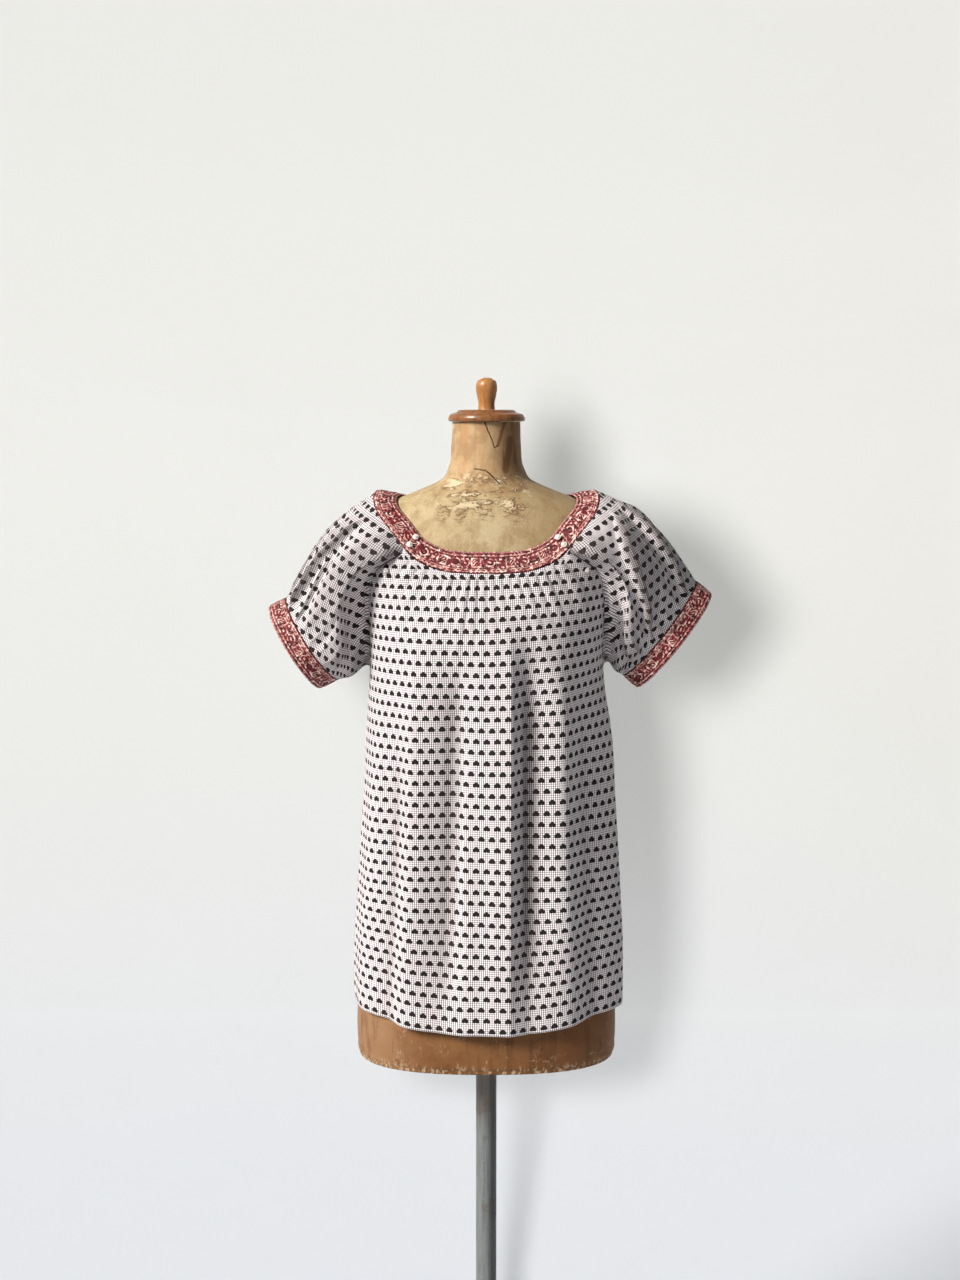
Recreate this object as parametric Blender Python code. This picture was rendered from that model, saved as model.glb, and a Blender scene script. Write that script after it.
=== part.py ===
"""Puff sleeve top of checked cotton with ribbon bands, on a limbless dress form with a pole stand.

Metres, +Z up. The origin is on the floor under the pole, and the front of the top faces -Y.
Angles run round the pole in degrees: 0 is the front, 90 the +X side, 180 the back.
"""

import math
from collections import namedtuple

import bpy
import numpy as np

# Driving sizes
CLOTH = 0.0015
RIBBON = 0.0018
RIBBON_WIDTH = 0.030
RIBBON_CROWN = 0.0006
SEAM_GAP = 0.0003
REST_GAP = 0.0012
HEM_HEIGHT = 0.747
UNDERARM_HEIGHT = 1.202
FRONT_CORNER = 49.0
BACK_CORNER = 131.0

# The form stands on a pole in a heavy round foot
FORM_BOTTOM = 0.683
NECK_TOP = 1.5215
POLE_RADIUS = 0.0138
FOOT_RADIUS = 0.175
FOOT_EDGE = 0.008
FOOT_FLOOR = 0.005
HUB_RADIUS = 0.027
HUB_TOP = 0.052

# Gathers: small waves that fade away from the seam they are drawn into
FRONT_GATHERS = 20
BACK_GATHERS = 14
CUFF_GATHERS = 12
GATHER_HEIGHT = 0.0016
GATHER_FADE = 0.055

Section = namedtuple("Section", "height half_width front back squareness")
FORM_SECTIONS = [
    Section(0.683, 0.1530, 0.0930, 0.0930, 2.5),
    Section(0.6855, 0.1640, 0.1040, 0.1040, 2.5),
    Section(0.692, 0.1698, 0.1100, 0.1105, 2.5),
    Section(0.705, 0.1712, 0.1130, 0.1150, 2.5),
    Section(0.760, 0.1712, 0.1150, 0.1190, 2.4),
    Section(0.840, 0.1640, 0.1130, 0.1170, 2.3),
    Section(0.920, 0.1450, 0.1030, 0.1010, 2.2),
    Section(1.000, 0.1240, 0.0930, 0.0830, 2.2),
    Section(1.060, 0.1180, 0.0930, 0.0800, 2.2),
    Section(1.130, 0.1260, 0.1050, 0.0860, 2.2),
    Section(1.200, 0.1380, 0.1220, 0.0930, 2.2),
    Section(1.250, 0.1440, 0.1260, 0.0980, 2.2),
    Section(1.300, 0.1500, 0.1130, 0.1000, 2.3),
    Section(1.340, 0.1550, 0.0990, 0.0940, 2.4),
    Section(1.375, 0.1570, 0.0865, 0.0860, 2.4),
    Section(1.395, 0.1510, 0.0790, 0.0790, 2.3),
    Section(1.410, 0.1370, 0.0725, 0.0730, 2.2),
    Section(1.424, 0.1120, 0.0650, 0.0670, 2.1),
    Section(1.434, 0.0870, 0.0585, 0.0620, 2.1),
    Section(1.446, 0.0600, 0.0510, 0.0560, 2.0),
    Section(1.462, 0.0490, 0.0460, 0.0500, 2.0),
    Section(1.490, 0.0450, 0.0440, 0.0460, 2.0),
    Section(1.5215, 0.0437, 0.0437, 0.0437, 2.0),
]
CLOTH_SECTIONS = [
    Section(0.740, 0.1755, 0.1350, 0.1330, 2.3),
    Section(0.850, 0.1745, 0.1335, 0.1280, 2.3),
    Section(0.920, 0.1700, 0.1330, 0.1230, 2.3),
    Section(0.985, 0.1655, 0.1335, 0.1180, 2.3),
    Section(1.050, 0.1605, 0.1350, 0.1150, 2.3),
    Section(1.130, 0.1570, 0.1370, 0.1130, 2.3),
    Section(1.200, 0.1520, 0.1370, 0.1130, 2.3),
    Section(1.250, 0.1535, 0.1340, 0.1130, 2.3),
    Section(1.300, 0.1580, 0.1210, 0.1120, 2.3),
    Section(1.335, 0.1620, 0.1070, 0.1060, 2.3),
    Section(1.360, 0.1630, 0.0980, 0.1000, 2.3),
    Section(1.400, 0.1560, 0.0850, 0.0880, 2.3),
]

# The hem hangs lower in front than at the sides
Hem = namedtuple("Hem", "angle rise")
HEM = [
    Hem(0, 0.0),
    Hem(28, 0.001),
    Hem(45, 0.007),
    Hem(66, 0.016),
    Hem(90, 0.022),
    Hem(130, 0.016),
    Hem(180, 0.010),
]

# The neckband's inner edge lies on the form; tilt is how the band slopes outwards from it
Neck = namedtuple("Neck", "angle height tilt")
NECKLINE = [
    Neck(0, 1.3600, -62),
    Neck(15, 1.3602, -61),
    Neck(30, 1.3635, -56),
    Neck(44, 1.3760, -46),
    Neck(56, 1.3980, -26),
    Neck(72, 1.4180, -4),
    Neck(90, 1.4275, 12),
    Neck(108, 1.4260, -2),
    Neck(131, 1.4190, -36),
    Neck(155, 1.4130, -60),
    Neck(180, 1.4110, -66),
]

# Where the raglan seam runs on the body, from the neckband to the underarm
Seam = namedtuple("Seam", "height angle")
FRONT_SEAM = [
    Seam(1.202, 90.0),
    Seam(1.212, 81.0),
    Seam(1.250, 75.0),
    Seam(1.300, 69.0),
    Seam(1.341, 60.0),
    Seam(1.358, 49.0),
]
BACK_SEAM = [
    Seam(1.202, 90.0),
    Seam(1.212, 98.0),
    Seam(1.250, 106.0),
    Seam(1.300, 113.0),
    Seam(1.350, 121.0),
    Seam(1.398, 131.0),
]

# Soft vertical folds of the body, as ridges (height above 0) and troughs, at the hem and at the bust
Fold = namedtuple("Fold", "hem_angle bust_angle height left_width right_width fades_at")
BODY_FOLDS = [
    Fold(-66, -58, 0.0050, 8, 6, 1.20),
    Fold(-53, -47, -0.0060, 6, 6, 1.19),
    Fold(-42, -38, 0.0060, 5, 9, 1.27),
    Fold(-20, -20, -0.0050, 10, 10, 1.24),
    Fold(12, 9, 0.0095, 12, 4, 1.29),
    Fold(21, 18, -0.0090, 4, 6, 1.27),
    Fold(42, 36, 0.0075, 8, 6, 1.29),
    Fold(54, 50, -0.0065, 6, 6, 1.22),
    Fold(72, 76, 0.0110, 9, 9, 1.23),
    Fold(104, 108, 0.0060, 8, 7, 1.22),
    Fold(122, 126, -0.0060, 8, 7, 1.26),
    Fold(139, 140, 0.0080, 7, 8, 1.30),
    Fold(157, 156, -0.0065, 8, 9, 1.30),
    Fold(174, 172, 0.0075, 9, 7, 1.32),
    Fold(191, 190, -0.0070, 8, 7, 1.30),
    Fold(209, 208, 0.0080, 8, 8, 1.31),
    Fold(228, 224, -0.0070, 8, 8, 1.27),
    Fold(247, 244, 0.0060, 7, 9, 1.24),
]

# Each sleeve in its own frame, with +X pointing away from the body. The cuff is an oval ring whose
# front reaches a little further out along the arm than its back
Sleeve = namedtuple(
    "Sleeve",
    "side seam_top seam_bottom mouth_top mouth_bottom half_depth front_reach flare top_flare droop top_droop",
)
SLEEVES = [
    Sleeve("right", (0.272, 1.316), (0.178, 1.193), (0.293, 1.299), (0.197, 1.176), 0.038, 0.006, 30, 24, 18, 22),
    Sleeve("left", (0.260, 1.294), (0.193, 1.187), (0.283, 1.282), (0.217, 1.175), 0.058, 0.004, 34, 29, 46, 34),
]
# Which way a sleeve's cloth leaves the body in front
LEAVES_FRONT = np.array([0.93, -0.34, 0.02])

# Long folds of a sleeve: round is 0 at the underarm, 0.25 at the front, 0.5 on top, 0.75 at the back
SleeveFold = namedtuple("SleeveFold", "round height width from_neck to_cuff")
SLEEVE_FOLDS = {
    "right": [
        SleeveFold(0.10, 0.0040, 0.030, 0.2, 0.9),
        SleeveFold(0.170, -0.0030, 0.026, 0.1, 0.9),
        SleeveFold(0.235, 0.0070, 0.028, 0.5, 0.9),
        SleeveFold(0.32, -0.0085, 0.028, 0.6, 0.7),
        SleeveFold(0.385, 0.0060, 0.024, 0.7, 0.8),
        SleeveFold(0.44, -0.0055, 0.018, 0.5, 0.9),
        SleeveFold(0.485, 0.0040, 0.020, 0.4, 0.9),
        SleeveFold(0.56, -0.0060, 0.024, 0.6, 0.9),
        SleeveFold(0.63, 0.0070, 0.028, 0.7, 0.8),
        SleeveFold(0.71, -0.0070, 0.028, 0.6, 0.8),
        SleeveFold(0.80, 0.0060, 0.030, 0.4, 0.8),
        SleeveFold(0.89, -0.0040, 0.028, 0.2, 0.8),
    ],
    "left": [
        SleeveFold(0.08, 0.0050, 0.032, 0.2, 0.9),
        SleeveFold(0.155, -0.0045, 0.026, 0.2, 0.8),
        SleeveFold(0.225, 0.0065, 0.028, 0.5, 0.8),
        SleeveFold(0.29, -0.0060, 0.026, 0.6, 0.8),
        SleeveFold(0.345, 0.0050, 0.022, 0.6, 0.9),
        SleeveFold(0.395, -0.0080, 0.018, 0.8, 1.0),
        SleeveFold(0.435, 0.0060, 0.016, 0.7, 1.0),
        SleeveFold(0.475, -0.0060, 0.016, 0.6, 1.0),
        SleeveFold(0.57, 0.0060, 0.028, 0.5, 0.9),
        SleeveFold(0.65, -0.0070, 0.028, 0.6, 0.8),
        SleeveFold(0.74, 0.0075, 0.028, 0.6, 0.8),
        SleeveFold(0.83, -0.0060, 0.030, 0.3, 0.8),
    ],
}

# Two buttons on each side of the neckband, by their share across it, and one just below it
BUTTON_RADIUS = 0.0040
BUTTON_HEIGHT = 0.0046
Button = namedtuple("Button", "name across")
BAND_BUTTONS = [Button("upper", 0.28), Button("lower", 0.73)]
BUTTON_INSET = 1.6
SEAM_BUTTON_ACROSS = 0.955
SEAM_BUTTON_DOWN = 0.155

# Turned pieces, from the bottom up. The dome is in shares of a button's radius and height
Turning = namedtuple("Turning", "radius height")
DOME = [
    Turning(0.0, 0.0),
    Turning(0.62, 0.0),
    Turning(0.93, 0.22),
    Turning(1.0, 0.48),
    Turning(0.86, 0.76),
    Turning(0.5, 0.95),
    Turning(0.0, 1.0),
]
CAP_HEIGHT = 0.0150
CAP = [
    Turning(0.0440, 0.0),
    Turning(0.0490, 0.001),
    Turning(0.0497, 0.004),
    Turning(0.0475, 0.009),
    Turning(0.0400, 0.0115),
    Turning(0.0385, 0.0115),
    Turning(0.0340, CAP_HEIGHT),
]
KNOB = [
    Turning(0.0, 0.0),
    Turning(0.0112, 0.0),
    Turning(0.0106, 0.004),
    Turning(0.0108, 0.010),
    Turning(0.0124, 0.018),
    Turning(0.0137, 0.026),
    Turning(0.0134, 0.032),
    Turning(0.0112, 0.037),
    Turning(0.0065, 0.0400),
    Turning(0.0, 0.0410),
]
FOOT = [
    Turning(0.0, 0.0),
    Turning(FOOT_RADIUS - 0.001, 0.0),
    Turning(FOOT_RADIUS, 0.001),
    Turning(FOOT_RADIUS, FOOT_EDGE - 0.003),
    Turning(FOOT_RADIUS - 0.003, FOOT_EDGE),
    Turning(0.070, 0.0145),
    Turning(0.038, 0.019),
    Turning(HUB_RADIUS, 0.026),
    Turning(HUB_RADIUS, HUB_TOP - 0.002),
    Turning(HUB_RADIUS - 0.002, HUB_TOP),
    Turning(POLE_RADIUS + SEAM_GAP, HUB_TOP),
    Turning(POLE_RADIUS + SEAM_GAP, FOOT_FLOOR),
    Turning(0.0, FOOT_FLOOR),
]

# Mesh fineness
FRONT_COLUMNS = 52
BACK_COLUMNS = 36
GATHER_ROWS = 3
SEAM_ROWS = 5
SKIRT_ROWS = 9
SHOULDER_STEPS = 14
NECK_STEPS = 18
SLEEVE_ROWS = 9
SMOOTHING = 3

Finish = namedtuple("Finish", "colour roughness metallic")
FINISHES = {
    "checked_cotton": Finish((0.74, 0.70, 0.70), 0.85, 0.0),
    "red_ribbon": Finish((0.48, 0.09, 0.10), 0.65, 0.0),
    "aged_paper": Finish((0.60, 0.44, 0.25), 0.60, 0.0),
    "turned_wood": Finish((0.45, 0.19, 0.07), 0.35, 0.0),
    "steel_tube": Finish((0.30, 0.32, 0.31), 0.45, 0.9),
    "cast_foot": Finish((0.07, 0.07, 0.07), 0.60, 0.6),
    "pearl": Finish((0.82, 0.78, 0.70), 0.30, 0.0),
}


# Curves through tables


def read(rows, key, column, at):
    """A table's column, read at any value of its key column on one smooth curve."""
    keys = np.array([getattr(row, key) for row in rows], float)
    values = np.array([getattr(row, column) for row in rows], float)
    slopes = np.gradient(values, keys)
    at = np.clip(np.asarray(at, float), keys[0], keys[-1])
    k = np.clip(np.searchsorted(keys, at, side="right") - 1, 0, len(keys) - 2)
    span = keys[k + 1] - keys[k]
    t = (at - keys[k]) / span
    start = values[k] * (1 + 2 * t) * (1 - t) ** 2 + slopes[k] * span * t * (1 - t) ** 2
    end = values[k + 1] * t**2 * (3 - 2 * t) + slopes[k + 1] * span * t**2 * (t - 1)
    return start + end


def smooth_step(value):
    value = np.clip(value, 0, 1)
    return value * value * (3 - 2 * value)


def ring_radius(sections, angle, height):
    """Distance from the pole's axis to a rounded-oval section."""
    turn = np.radians(angle)
    squareness = read(sections, "height", "squareness", height)
    half_width = read(sections, "height", "half_width", height)
    front = read(sections, "height", "front", height)
    back = read(sections, "height", "back", height)
    depth = np.where(np.cos(turn) > 0, front, back)
    wide = np.abs(np.sin(turn) / half_width) ** squareness
    deep = np.abs(np.cos(turn) / depth) ** squareness
    return (wide + deep) ** (-1 / squareness)


def form_radius(angle, height, distance=0.0):
    """Distance from the axis to the form's surface, or to a point that far out from its surface."""
    here = ring_radius(FORM_SECTIONS, angle, height)
    slope = (ring_radius(FORM_SECTIONS, angle, height + 0.004) - here) / 0.004
    return here + distance * np.sqrt(1 + slope**2)


def at_angle(angle, radius, height):
    turn = np.radians(angle)
    return np.stack(np.broadcast_arrays(radius * np.sin(turn), -radius * np.cos(turn), height), -1)


def unit(vectors):
    return vectors / np.linalg.norm(vectors, axis=-1, keepdims=True)


def turned_angle(angle):
    """The angle measured from the front, 0 to 180 on either side."""
    return np.abs((np.asarray(angle, float) + 180) % 360 - 180)


# Shapes of the worn cloth


def neck_edge(angle, across):
    """Radius and height of the neckband, from its inner edge (across 0) to its sewn edge (across 1)."""
    side = turned_angle(angle)
    tilt = np.radians(read(NECKLINE, "angle", "tilt", side))
    height = read(NECKLINE, "angle", "height", side)
    inner = form_radius(side, height, REST_GAP + RIBBON)
    crown = RIBBON_CROWN * 4 * across * (1 - across)
    radius = inner + RIBBON_WIDTH * across * np.cos(tilt) - crown * np.sin(tilt)
    return radius, height + RIBBON_WIDTH * across * np.sin(tilt) + crown * np.cos(tilt)


def neck_normal(angle):
    """Which way the neckband faces at an angle."""
    angle = np.asarray(angle, float)
    ahead, behind = angle + 1, angle - 1
    along = at_angle(ahead, *neck_edge(ahead, 0.5)) - at_angle(behind, *neck_edge(behind, 0.5))
    downward = at_angle(angle, *neck_edge(angle, 1.0)) - at_angle(angle, *neck_edge(angle, 0.0))
    return unit(np.cross(downward, along))


def body_folds(angle, height):
    """How far the long soft folds stand out of the plain section."""
    offset = np.zeros(np.broadcast(angle, height).shape)
    share_down = np.clip((1.25 - height) / (1.25 - HEM_HEIGHT), 0, 1)
    for fold in BODY_FOLDS:
        centre = fold.bust_angle + (fold.hem_angle - fold.bust_angle) * share_down
        away = (angle - centre + 180) % 360 - 180
        width = np.where(away < 0, fold.left_width, fold.right_width)
        grown = smooth_step((fold.fades_at - height) / 0.16)
        offset = offset + fold.height * grown * np.exp(-((away / width) ** 2))
    return offset


Panel = namedtuple("Panel", "name middle corner seam gathers columns")
FRONT = Panel("front_panel", 0.0, FRONT_CORNER, FRONT_SEAM, FRONT_GATHERS, FRONT_COLUMNS)
BACK = Panel("back_panel", 180.0, 180 - BACK_CORNER, BACK_SEAM, BACK_GATHERS, BACK_COLUMNS)


def seam_angle(panel, height):
    """Half the angle that a panel spans at a height, to the raglan seam and then to the side seam."""
    seam = read(panel.seam, "height", "angle", height)
    return np.where(height > UNDERARM_HEIGHT, np.abs(panel.middle - seam), 90.0)


def column_angle(panel, across, height):
    """Columns fan out evenly from the neck, and only the outer ones bend to meet the seam."""
    even = panel.corner + (90 - panel.corner) * smooth_step((1.40 - height) / 0.30)
    edge = np.sign(across) * np.abs(across) ** 7
    return panel.middle + across * even + edge * (seam_angle(panel, height) - even)


def panel_point(panel, across, down):
    """A point of a panel's outer face: across is -1 to 1 between its side edges, down is 0 to 1."""
    top_angle = panel.middle + across * panel.corner
    top_radius, top_height = neck_edge(top_angle, 1.0)
    corner_height = neck_edge(panel.middle + panel.corner, 1.0)[1]
    edge_height = corner_height + (HEM_HEIGHT - corner_height) * down
    angle = column_angle(panel, across, edge_height)
    rise = read(HEM, "angle", "rise", turned_angle(column_angle(panel, across, HEM_HEIGHT)))
    skirt = smooth_step((down - underarm_share(panel)) / (1 - underarm_share(panel)))
    height = top_height + (HEM_HEIGHT - top_height) * down + rise * skirt
    plain = ring_radius(CLOTH_SECTIONS, angle, height)
    held = np.exp(-(top_height - height) / 0.05)
    radius = plain + held * (top_radius - ring_radius(CLOTH_SECTIONS, top_angle, top_height))
    fallen = (top_height - height) / GATHER_FADE
    wave = 0.5 - 0.5 * np.cos(math.pi * panel.gathers * (across + 1))
    radius = radius + GATHER_HEIGHT * wave * np.minimum(6 * fallen, 1) * np.exp(-(fallen**2))
    radius = radius + body_folds(angle, height)
    clear = form_radius(angle, height, REST_GAP + CLOTH)
    return at_angle(angle, np.maximum(radius, clear), height)


def underarm_share(panel):
    """How far down a panel the underarm lies."""
    corner_height = neck_edge(panel.middle + panel.corner, 1.0)[1]
    return float((corner_height - UNDERARM_HEIGHT) / (corner_height - HEM_HEIGHT))


def body_normal(panel, down):
    """Which way the panel faces at its raglan edge on the +X side, for each share down."""
    share = smooth_step(down / underarm_share(panel))
    corner_angle = panel.middle + panel.corner if panel is FRONT else panel.middle - panel.corner
    height = neck_edge(corner_angle, 1.0)[1]
    half = seam_angle(panel, height + (HEM_HEIGHT - height) * down)
    angle = half if panel is FRONT else 180 - half
    sideways = at_angle(angle, 1.0, 0.0)
    return unit(neck_normal(corner_angle) * (1 - share)[..., None] + sideways * share[..., None])


def seam_rows(panel):
    """How far down the panel each row lies, to the underarm and then to the hem."""
    underarm = underarm_share(panel)
    gathered = 0.30 * underarm
    rows = np.linspace(0, gathered, GATHER_ROWS + 1)
    rows = np.append(rows, np.linspace(gathered, underarm, SEAM_ROWS + 1)[1:])
    return rows, np.append(rows, np.linspace(underarm, 1, SKIRT_ROWS + 1)[1:])


# Solids


def vertex_normals(points, faces):
    normals = np.zeros_like(points)
    for face in faces:
        corners = points[list(face)]
        facing = np.cross(corners[1] - corners[0], corners[-1] - corners[0])
        normals[list(face)] += facing
    return unit(normals)


def triangles(points, faces):
    """Each four-cornered face cut along its shorter diagonal."""
    cut = []
    for face in faces:
        if len(face) == 3:
            cut.append(tuple(face))
            continue
        a, b, c, d = face
        if np.linalg.norm(points[a] - points[c]) <= np.linalg.norm(points[b] - points[d]):
            cut += [(a, b, c), (a, c, d)]
        else:
            cut += [(a, b, d), (b, c, d)]
    return cut


def thick_skin(name, finish, points, faces, thickness, set_normals=()):
    """A wall of even thickness inside an outer skin. set_normals lists (vertex, direction) for seam edges."""
    points = np.asarray(points, float)
    normals = vertex_normals(points, faces)
    for vertex, direction in set_normals:
        normals[vertex] = direction
    inside = points - thickness * normals
    count = len(points)
    skin = triangles(points, faces)
    walls = skin + [(count + a, count + c, count + b) for a, b, c in skin]
    edges = {(face[i - 1], face[i]) for face in skin for i in range(3)}
    for start, end in edges:
        if (end, start) not in edges:
            walls.append((end, start, count + start, count + end))
    return add_solid(name, finish, np.concatenate([points, inside]), walls)


def add_solid(name, finish, points, faces):
    mesh = bpy.data.meshes.new(name)
    mesh.from_pydata([tuple(map(float, p)) for p in points], [], faces)
    mesh.validate()
    mesh.materials.append(material(finish))
    solid = bpy.data.objects.new(name, mesh)
    bpy.context.scene.collection.objects.link(solid)
    return solid


def material(name):
    found = bpy.data.materials.get(name)
    if found:
        return found
    finish = FINISHES[name]
    made = bpy.data.materials.new(name)
    made.use_nodes = True
    shader = made.node_tree.nodes["Principled BSDF"]
    shader.inputs["Base Color"].default_value = (*finish.colour, 1.0)
    shader.inputs["Roughness"].default_value = finish.roughness
    shader.inputs["Metallic"].default_value = finish.metallic
    made.diffuse_color = (*finish.colour, 1.0)
    return made


def turned(name, finish, profile, steps, base=0.0, cap_ends=False):
    """A solid turned round Z from a table of radii and heights above its base."""
    rings = []
    points = []
    for radius, height in profile:
        ring = [len(points) + i for i in range(steps if radius > 0 else 1)]
        for i in range(len(ring)):
            points.append(at_angle(360 * i / steps, radius, base + height))
        rings.append(ring)
    faces = []
    for low, high in zip(rings, rings[1:]):
        for i in range(steps):
            j = (i + 1) % steps
            corners = [low[i % len(low)], low[j % len(low)], high[j % len(high)], high[i % len(high)]]
            faces.append(tuple(dict.fromkeys(corners)))
    if cap_ends:
        faces.append(tuple(reversed(rings[0])))
        faces.append(tuple(rings[-1]))
    solid = add_solid(name, finish, points, faces)
    solid.data.shade_smooth()
    return solid


def grid_faces(rows):
    """Faces between rows of vertex numbers, listed from the top down. A row may have half as many steps."""
    faces = []
    for upper, lower in zip(rows, rows[1:]):
        if len(upper) == len(lower):
            for i in range(len(lower) - 1):
                faces.append((upper[i], lower[i], lower[i + 1], upper[i + 1]))
            continue
        for i in range(len(lower) - 1):
            left, middle, right = upper[2 * i : 2 * i + 3]
            faces.append((left, lower[i], middle))
            faces.append((middle, lower[i], lower[i + 1]))
            faces.append((middle, lower[i + 1], right))
    return faces


def panel_solid(panel):
    """Front or back, gathered into the neckband and sewn to the sleeves and to the other panel."""
    to_underarm, rows = seam_rows(panel)
    points, numbers, set_normals = [], [], []
    edges = {sleeve.side: shared_normals(sleeve, panel) for sleeve in SLEEVES}
    left_end = "left" if panel is FRONT else "right"
    for k, down in enumerate(rows):
        steps = panel.columns * (2 if k <= GATHER_ROWS else 1)
        across = np.linspace(-1, 1, steps + 1)
        row = panel_point(panel, across, down)
        if k == 0:
            row = row + SEAM_GAP * unit(panel_point(panel, across, 0.01) - row)
        start = len(points)
        for end, inward in ((0, 1), (-1, -2)):
            row[end] += SEAM_GAP * unit(row[inward] - row[end])
            side = left_end if end == 0 else {"left": "right", "right": "left"}[left_end]
            outward = edges[side][min(k, len(to_underarm) - 1)] if k < len(to_underarm) else (1, 0, 0)
            flip = np.array([1 if side == "right" else -1, 1, 1])
            set_normals.append((start + (0 if end == 0 else steps), np.array(outward) * flip))
        if k == 0:
            directions = neck_normal(panel.middle + across * panel.corner)
            set_normals += [(start + i, directions[i]) for i in range(1, steps)]
        points.extend(row)
        numbers.append(list(range(start, start + steps + 1)))
    return thick_skin(panel.name, "checked_cotton", points, grid_faces(numbers), CLOTH, set_normals)


def neckband_solid(name, angles):
    """A stretch of ribbon round the neck, slightly crowned."""
    inset = math.degrees(SEAM_GAP / 2 / 0.11)
    angles = np.concatenate([[angles[0] + inset], angles[1:-1], [angles[-1] - inset]])
    points, numbers = [], []
    for across in (0.0, 0.5, 1.0):
        radius, height = neck_edge(angles, across)
        numbers.append(list(range(len(points), len(points) + len(angles))))
        points.extend(at_angle(angles, radius, height))
    directions = neck_normal(angles)
    set_normals = [(row[i], directions[i]) for row in numbers for i in range(len(row))]
    return thick_skin(name, "red_ribbon", points, grid_faces(numbers), RIBBON, set_normals)


def add_neckbands():
    """One ribbon between the buttoned openings, and one over both shoulders and round the back."""
    neckband_solid("front_neckband", np.linspace(-FRONT_CORNER, FRONT_CORNER, NECK_STEPS + 1))
    shoulder = np.linspace(FRONT_CORNER, BACK_CORNER, SHOULDER_STEPS + 1)
    back = np.linspace(BACK_CORNER, 360 - BACK_CORNER, NECK_STEPS + 1)
    neckband_solid("back_neckband", np.concatenate([shoulder, back[1:-1], 360 - shoulder[::-1]]))


# Sleeves are worked out on the +X side and turned over for the left one


def along_seam(values):
    """Values at the panel's rows, with the mean of each two between them."""
    between = (values[1:] + values[:-1]) / 2
    woven = np.empty((2 * len(values) - 1, 3))
    woven[0::2], woven[1::2] = values, between
    return woven


def sleeve_neck_loop():
    """The edge that is sewn to the body: round, point and the body's outward face, from the underarm."""
    front_rows = seam_rows(FRONT)[0][::-1]
    back_rows = seam_rows(BACK)[0]
    front = along_seam(panel_point(FRONT, 1.0, front_rows))
    back = along_seam(panel_point(BACK, -1.0, back_rows))
    angles = np.linspace(FRONT_CORNER, BACK_CORNER, SHOULDER_STEPS + 1)
    shoulder = along_seam(at_angle(angles, *neck_edge(angles, 1.0)))[1:-1]
    corner = 0.25
    round_share = np.concatenate(
        [
            np.linspace(0, corner, len(front)),
            np.linspace(corner, 1 - corner, len(shoulder) + 2)[1:-1],
            np.linspace(1 - corner, 1, len(back))[:-1],
        ]
    )
    front_faces = along_seam(body_normal(FRONT, front_rows))
    shoulder_faces = along_seam(neck_normal(angles))[1:-1]
    back_faces = along_seam(body_normal(BACK, back_rows))
    facing = np.concatenate([front_faces, shoulder_faces, back_faces[:-1]])
    return round_share, np.concatenate([front, shoulder, back[:-1]]), unit(facing)


def seam_normals(sleeve):
    """Normals of the sewn edge: the neckband's on the shoulder, half way to the sleeve's down the raglan."""
    round_share, points, facing = sleeve_neck_loop()
    onward = np.roll(points, -1, axis=0) - np.roll(points, 1, axis=0)
    tube = unit(np.cross(leaving_directions(sleeve, round_share), unit(onward)))
    below_corner = smooth_step((np.abs(round_share - 0.5) - 0.25) / 0.09)
    return unit(facing + tube * below_corner[:, None])


def shared_normals(sleeve, panel):
    """The seam's normals beside one panel, from the neckband down to the underarm."""
    normals = seam_normals(sleeve)
    if panel is FRONT:
        return normals[: 2 * len(seam_rows(FRONT)[0]) - 1 : 2][::-1]
    count = 2 * len(seam_rows(BACK)[0]) - 2
    return np.concatenate([normals[-count::2], normals[:1]])


def cuff_ring(sleeve, top, bottom, round_share):
    """Points of the oval ring between two (x, z) ends, and the ring's outward directions."""
    top, bottom = np.array([top[0], 0, top[1]]), np.array([bottom[0], 0, bottom[1]])
    centre, long_half = (top + bottom) / 2, (top - bottom) / 2
    turn = 2 * math.pi * round_share[:, None]
    short_half = np.array([0, -sleeve.half_depth, 0])
    short_half = short_half + sleeve.front_reach * cuff_axis(sleeve)
    points = centre - long_half * np.cos(turn) + short_half * np.sin(turn)
    outward = -unit(long_half) * np.cos(turn) / np.linalg.norm(long_half)
    outward = outward + unit(short_half) * np.sin(turn) / sleeve.half_depth
    return points, unit(outward)


def cuff_axis(sleeve):
    along = np.subtract(sleeve.seam_top, sleeve.seam_bottom)
    return unit(np.array([along[1], 0, -along[0]]))


def leaving_directions(sleeve, round_share):
    """How the sleeve's cloth leaves the body's edge, from its directions below, in front, on top and behind."""
    turn = 2 * math.pi * round_share[:, None]
    low, high = math.radians(sleeve.droop), math.radians(sleeve.top_droop)
    below, above = (math.cos(low), 0, -math.sin(low)), (math.cos(high), 0, -math.sin(high))
    ways = [below, LEAVES_FRONT, above, LEAVES_FRONT * (1, -1, 1)]
    towards = (np.cos(turn), np.sin(turn), -np.cos(turn), -np.sin(turn))
    weights = [np.maximum(share, 0) ** 1.3 for share in towards]
    return unit(sum(w * np.array(way) for w, way in zip(weights, ways)))


def sleeve_folds(sleeve, round_share, along):
    """Long folds of the sleeve, deepest half way, with the cuff's small gathers."""
    offset = np.zeros(np.broadcast(round_share, along).shape)
    for fold in SLEEVE_FOLDS[sleeve.side]:
        away = (round_share - fold.round + 0.5) % 1 - 0.5
        grown = smooth_step((along - 0.06) / (0.22 + 0.5 * (1 - fold.from_neck)))
        held = smooth_step((1 - along) / (0.10 + 0.5 * (1 - fold.to_cuff)))
        offset = offset + fold.height * grown * held * np.exp(-((away / fold.width) ** 2))
    near_cuff = (1 - along) / 0.22
    wave = 0.5 - 0.5 * np.cos(2 * math.pi * CUFF_GATHERS * round_share)
    return offset + GATHER_HEIGHT * wave * np.minimum(4 * near_cuff, 1) * np.exp(-(near_cuff**2))


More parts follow.
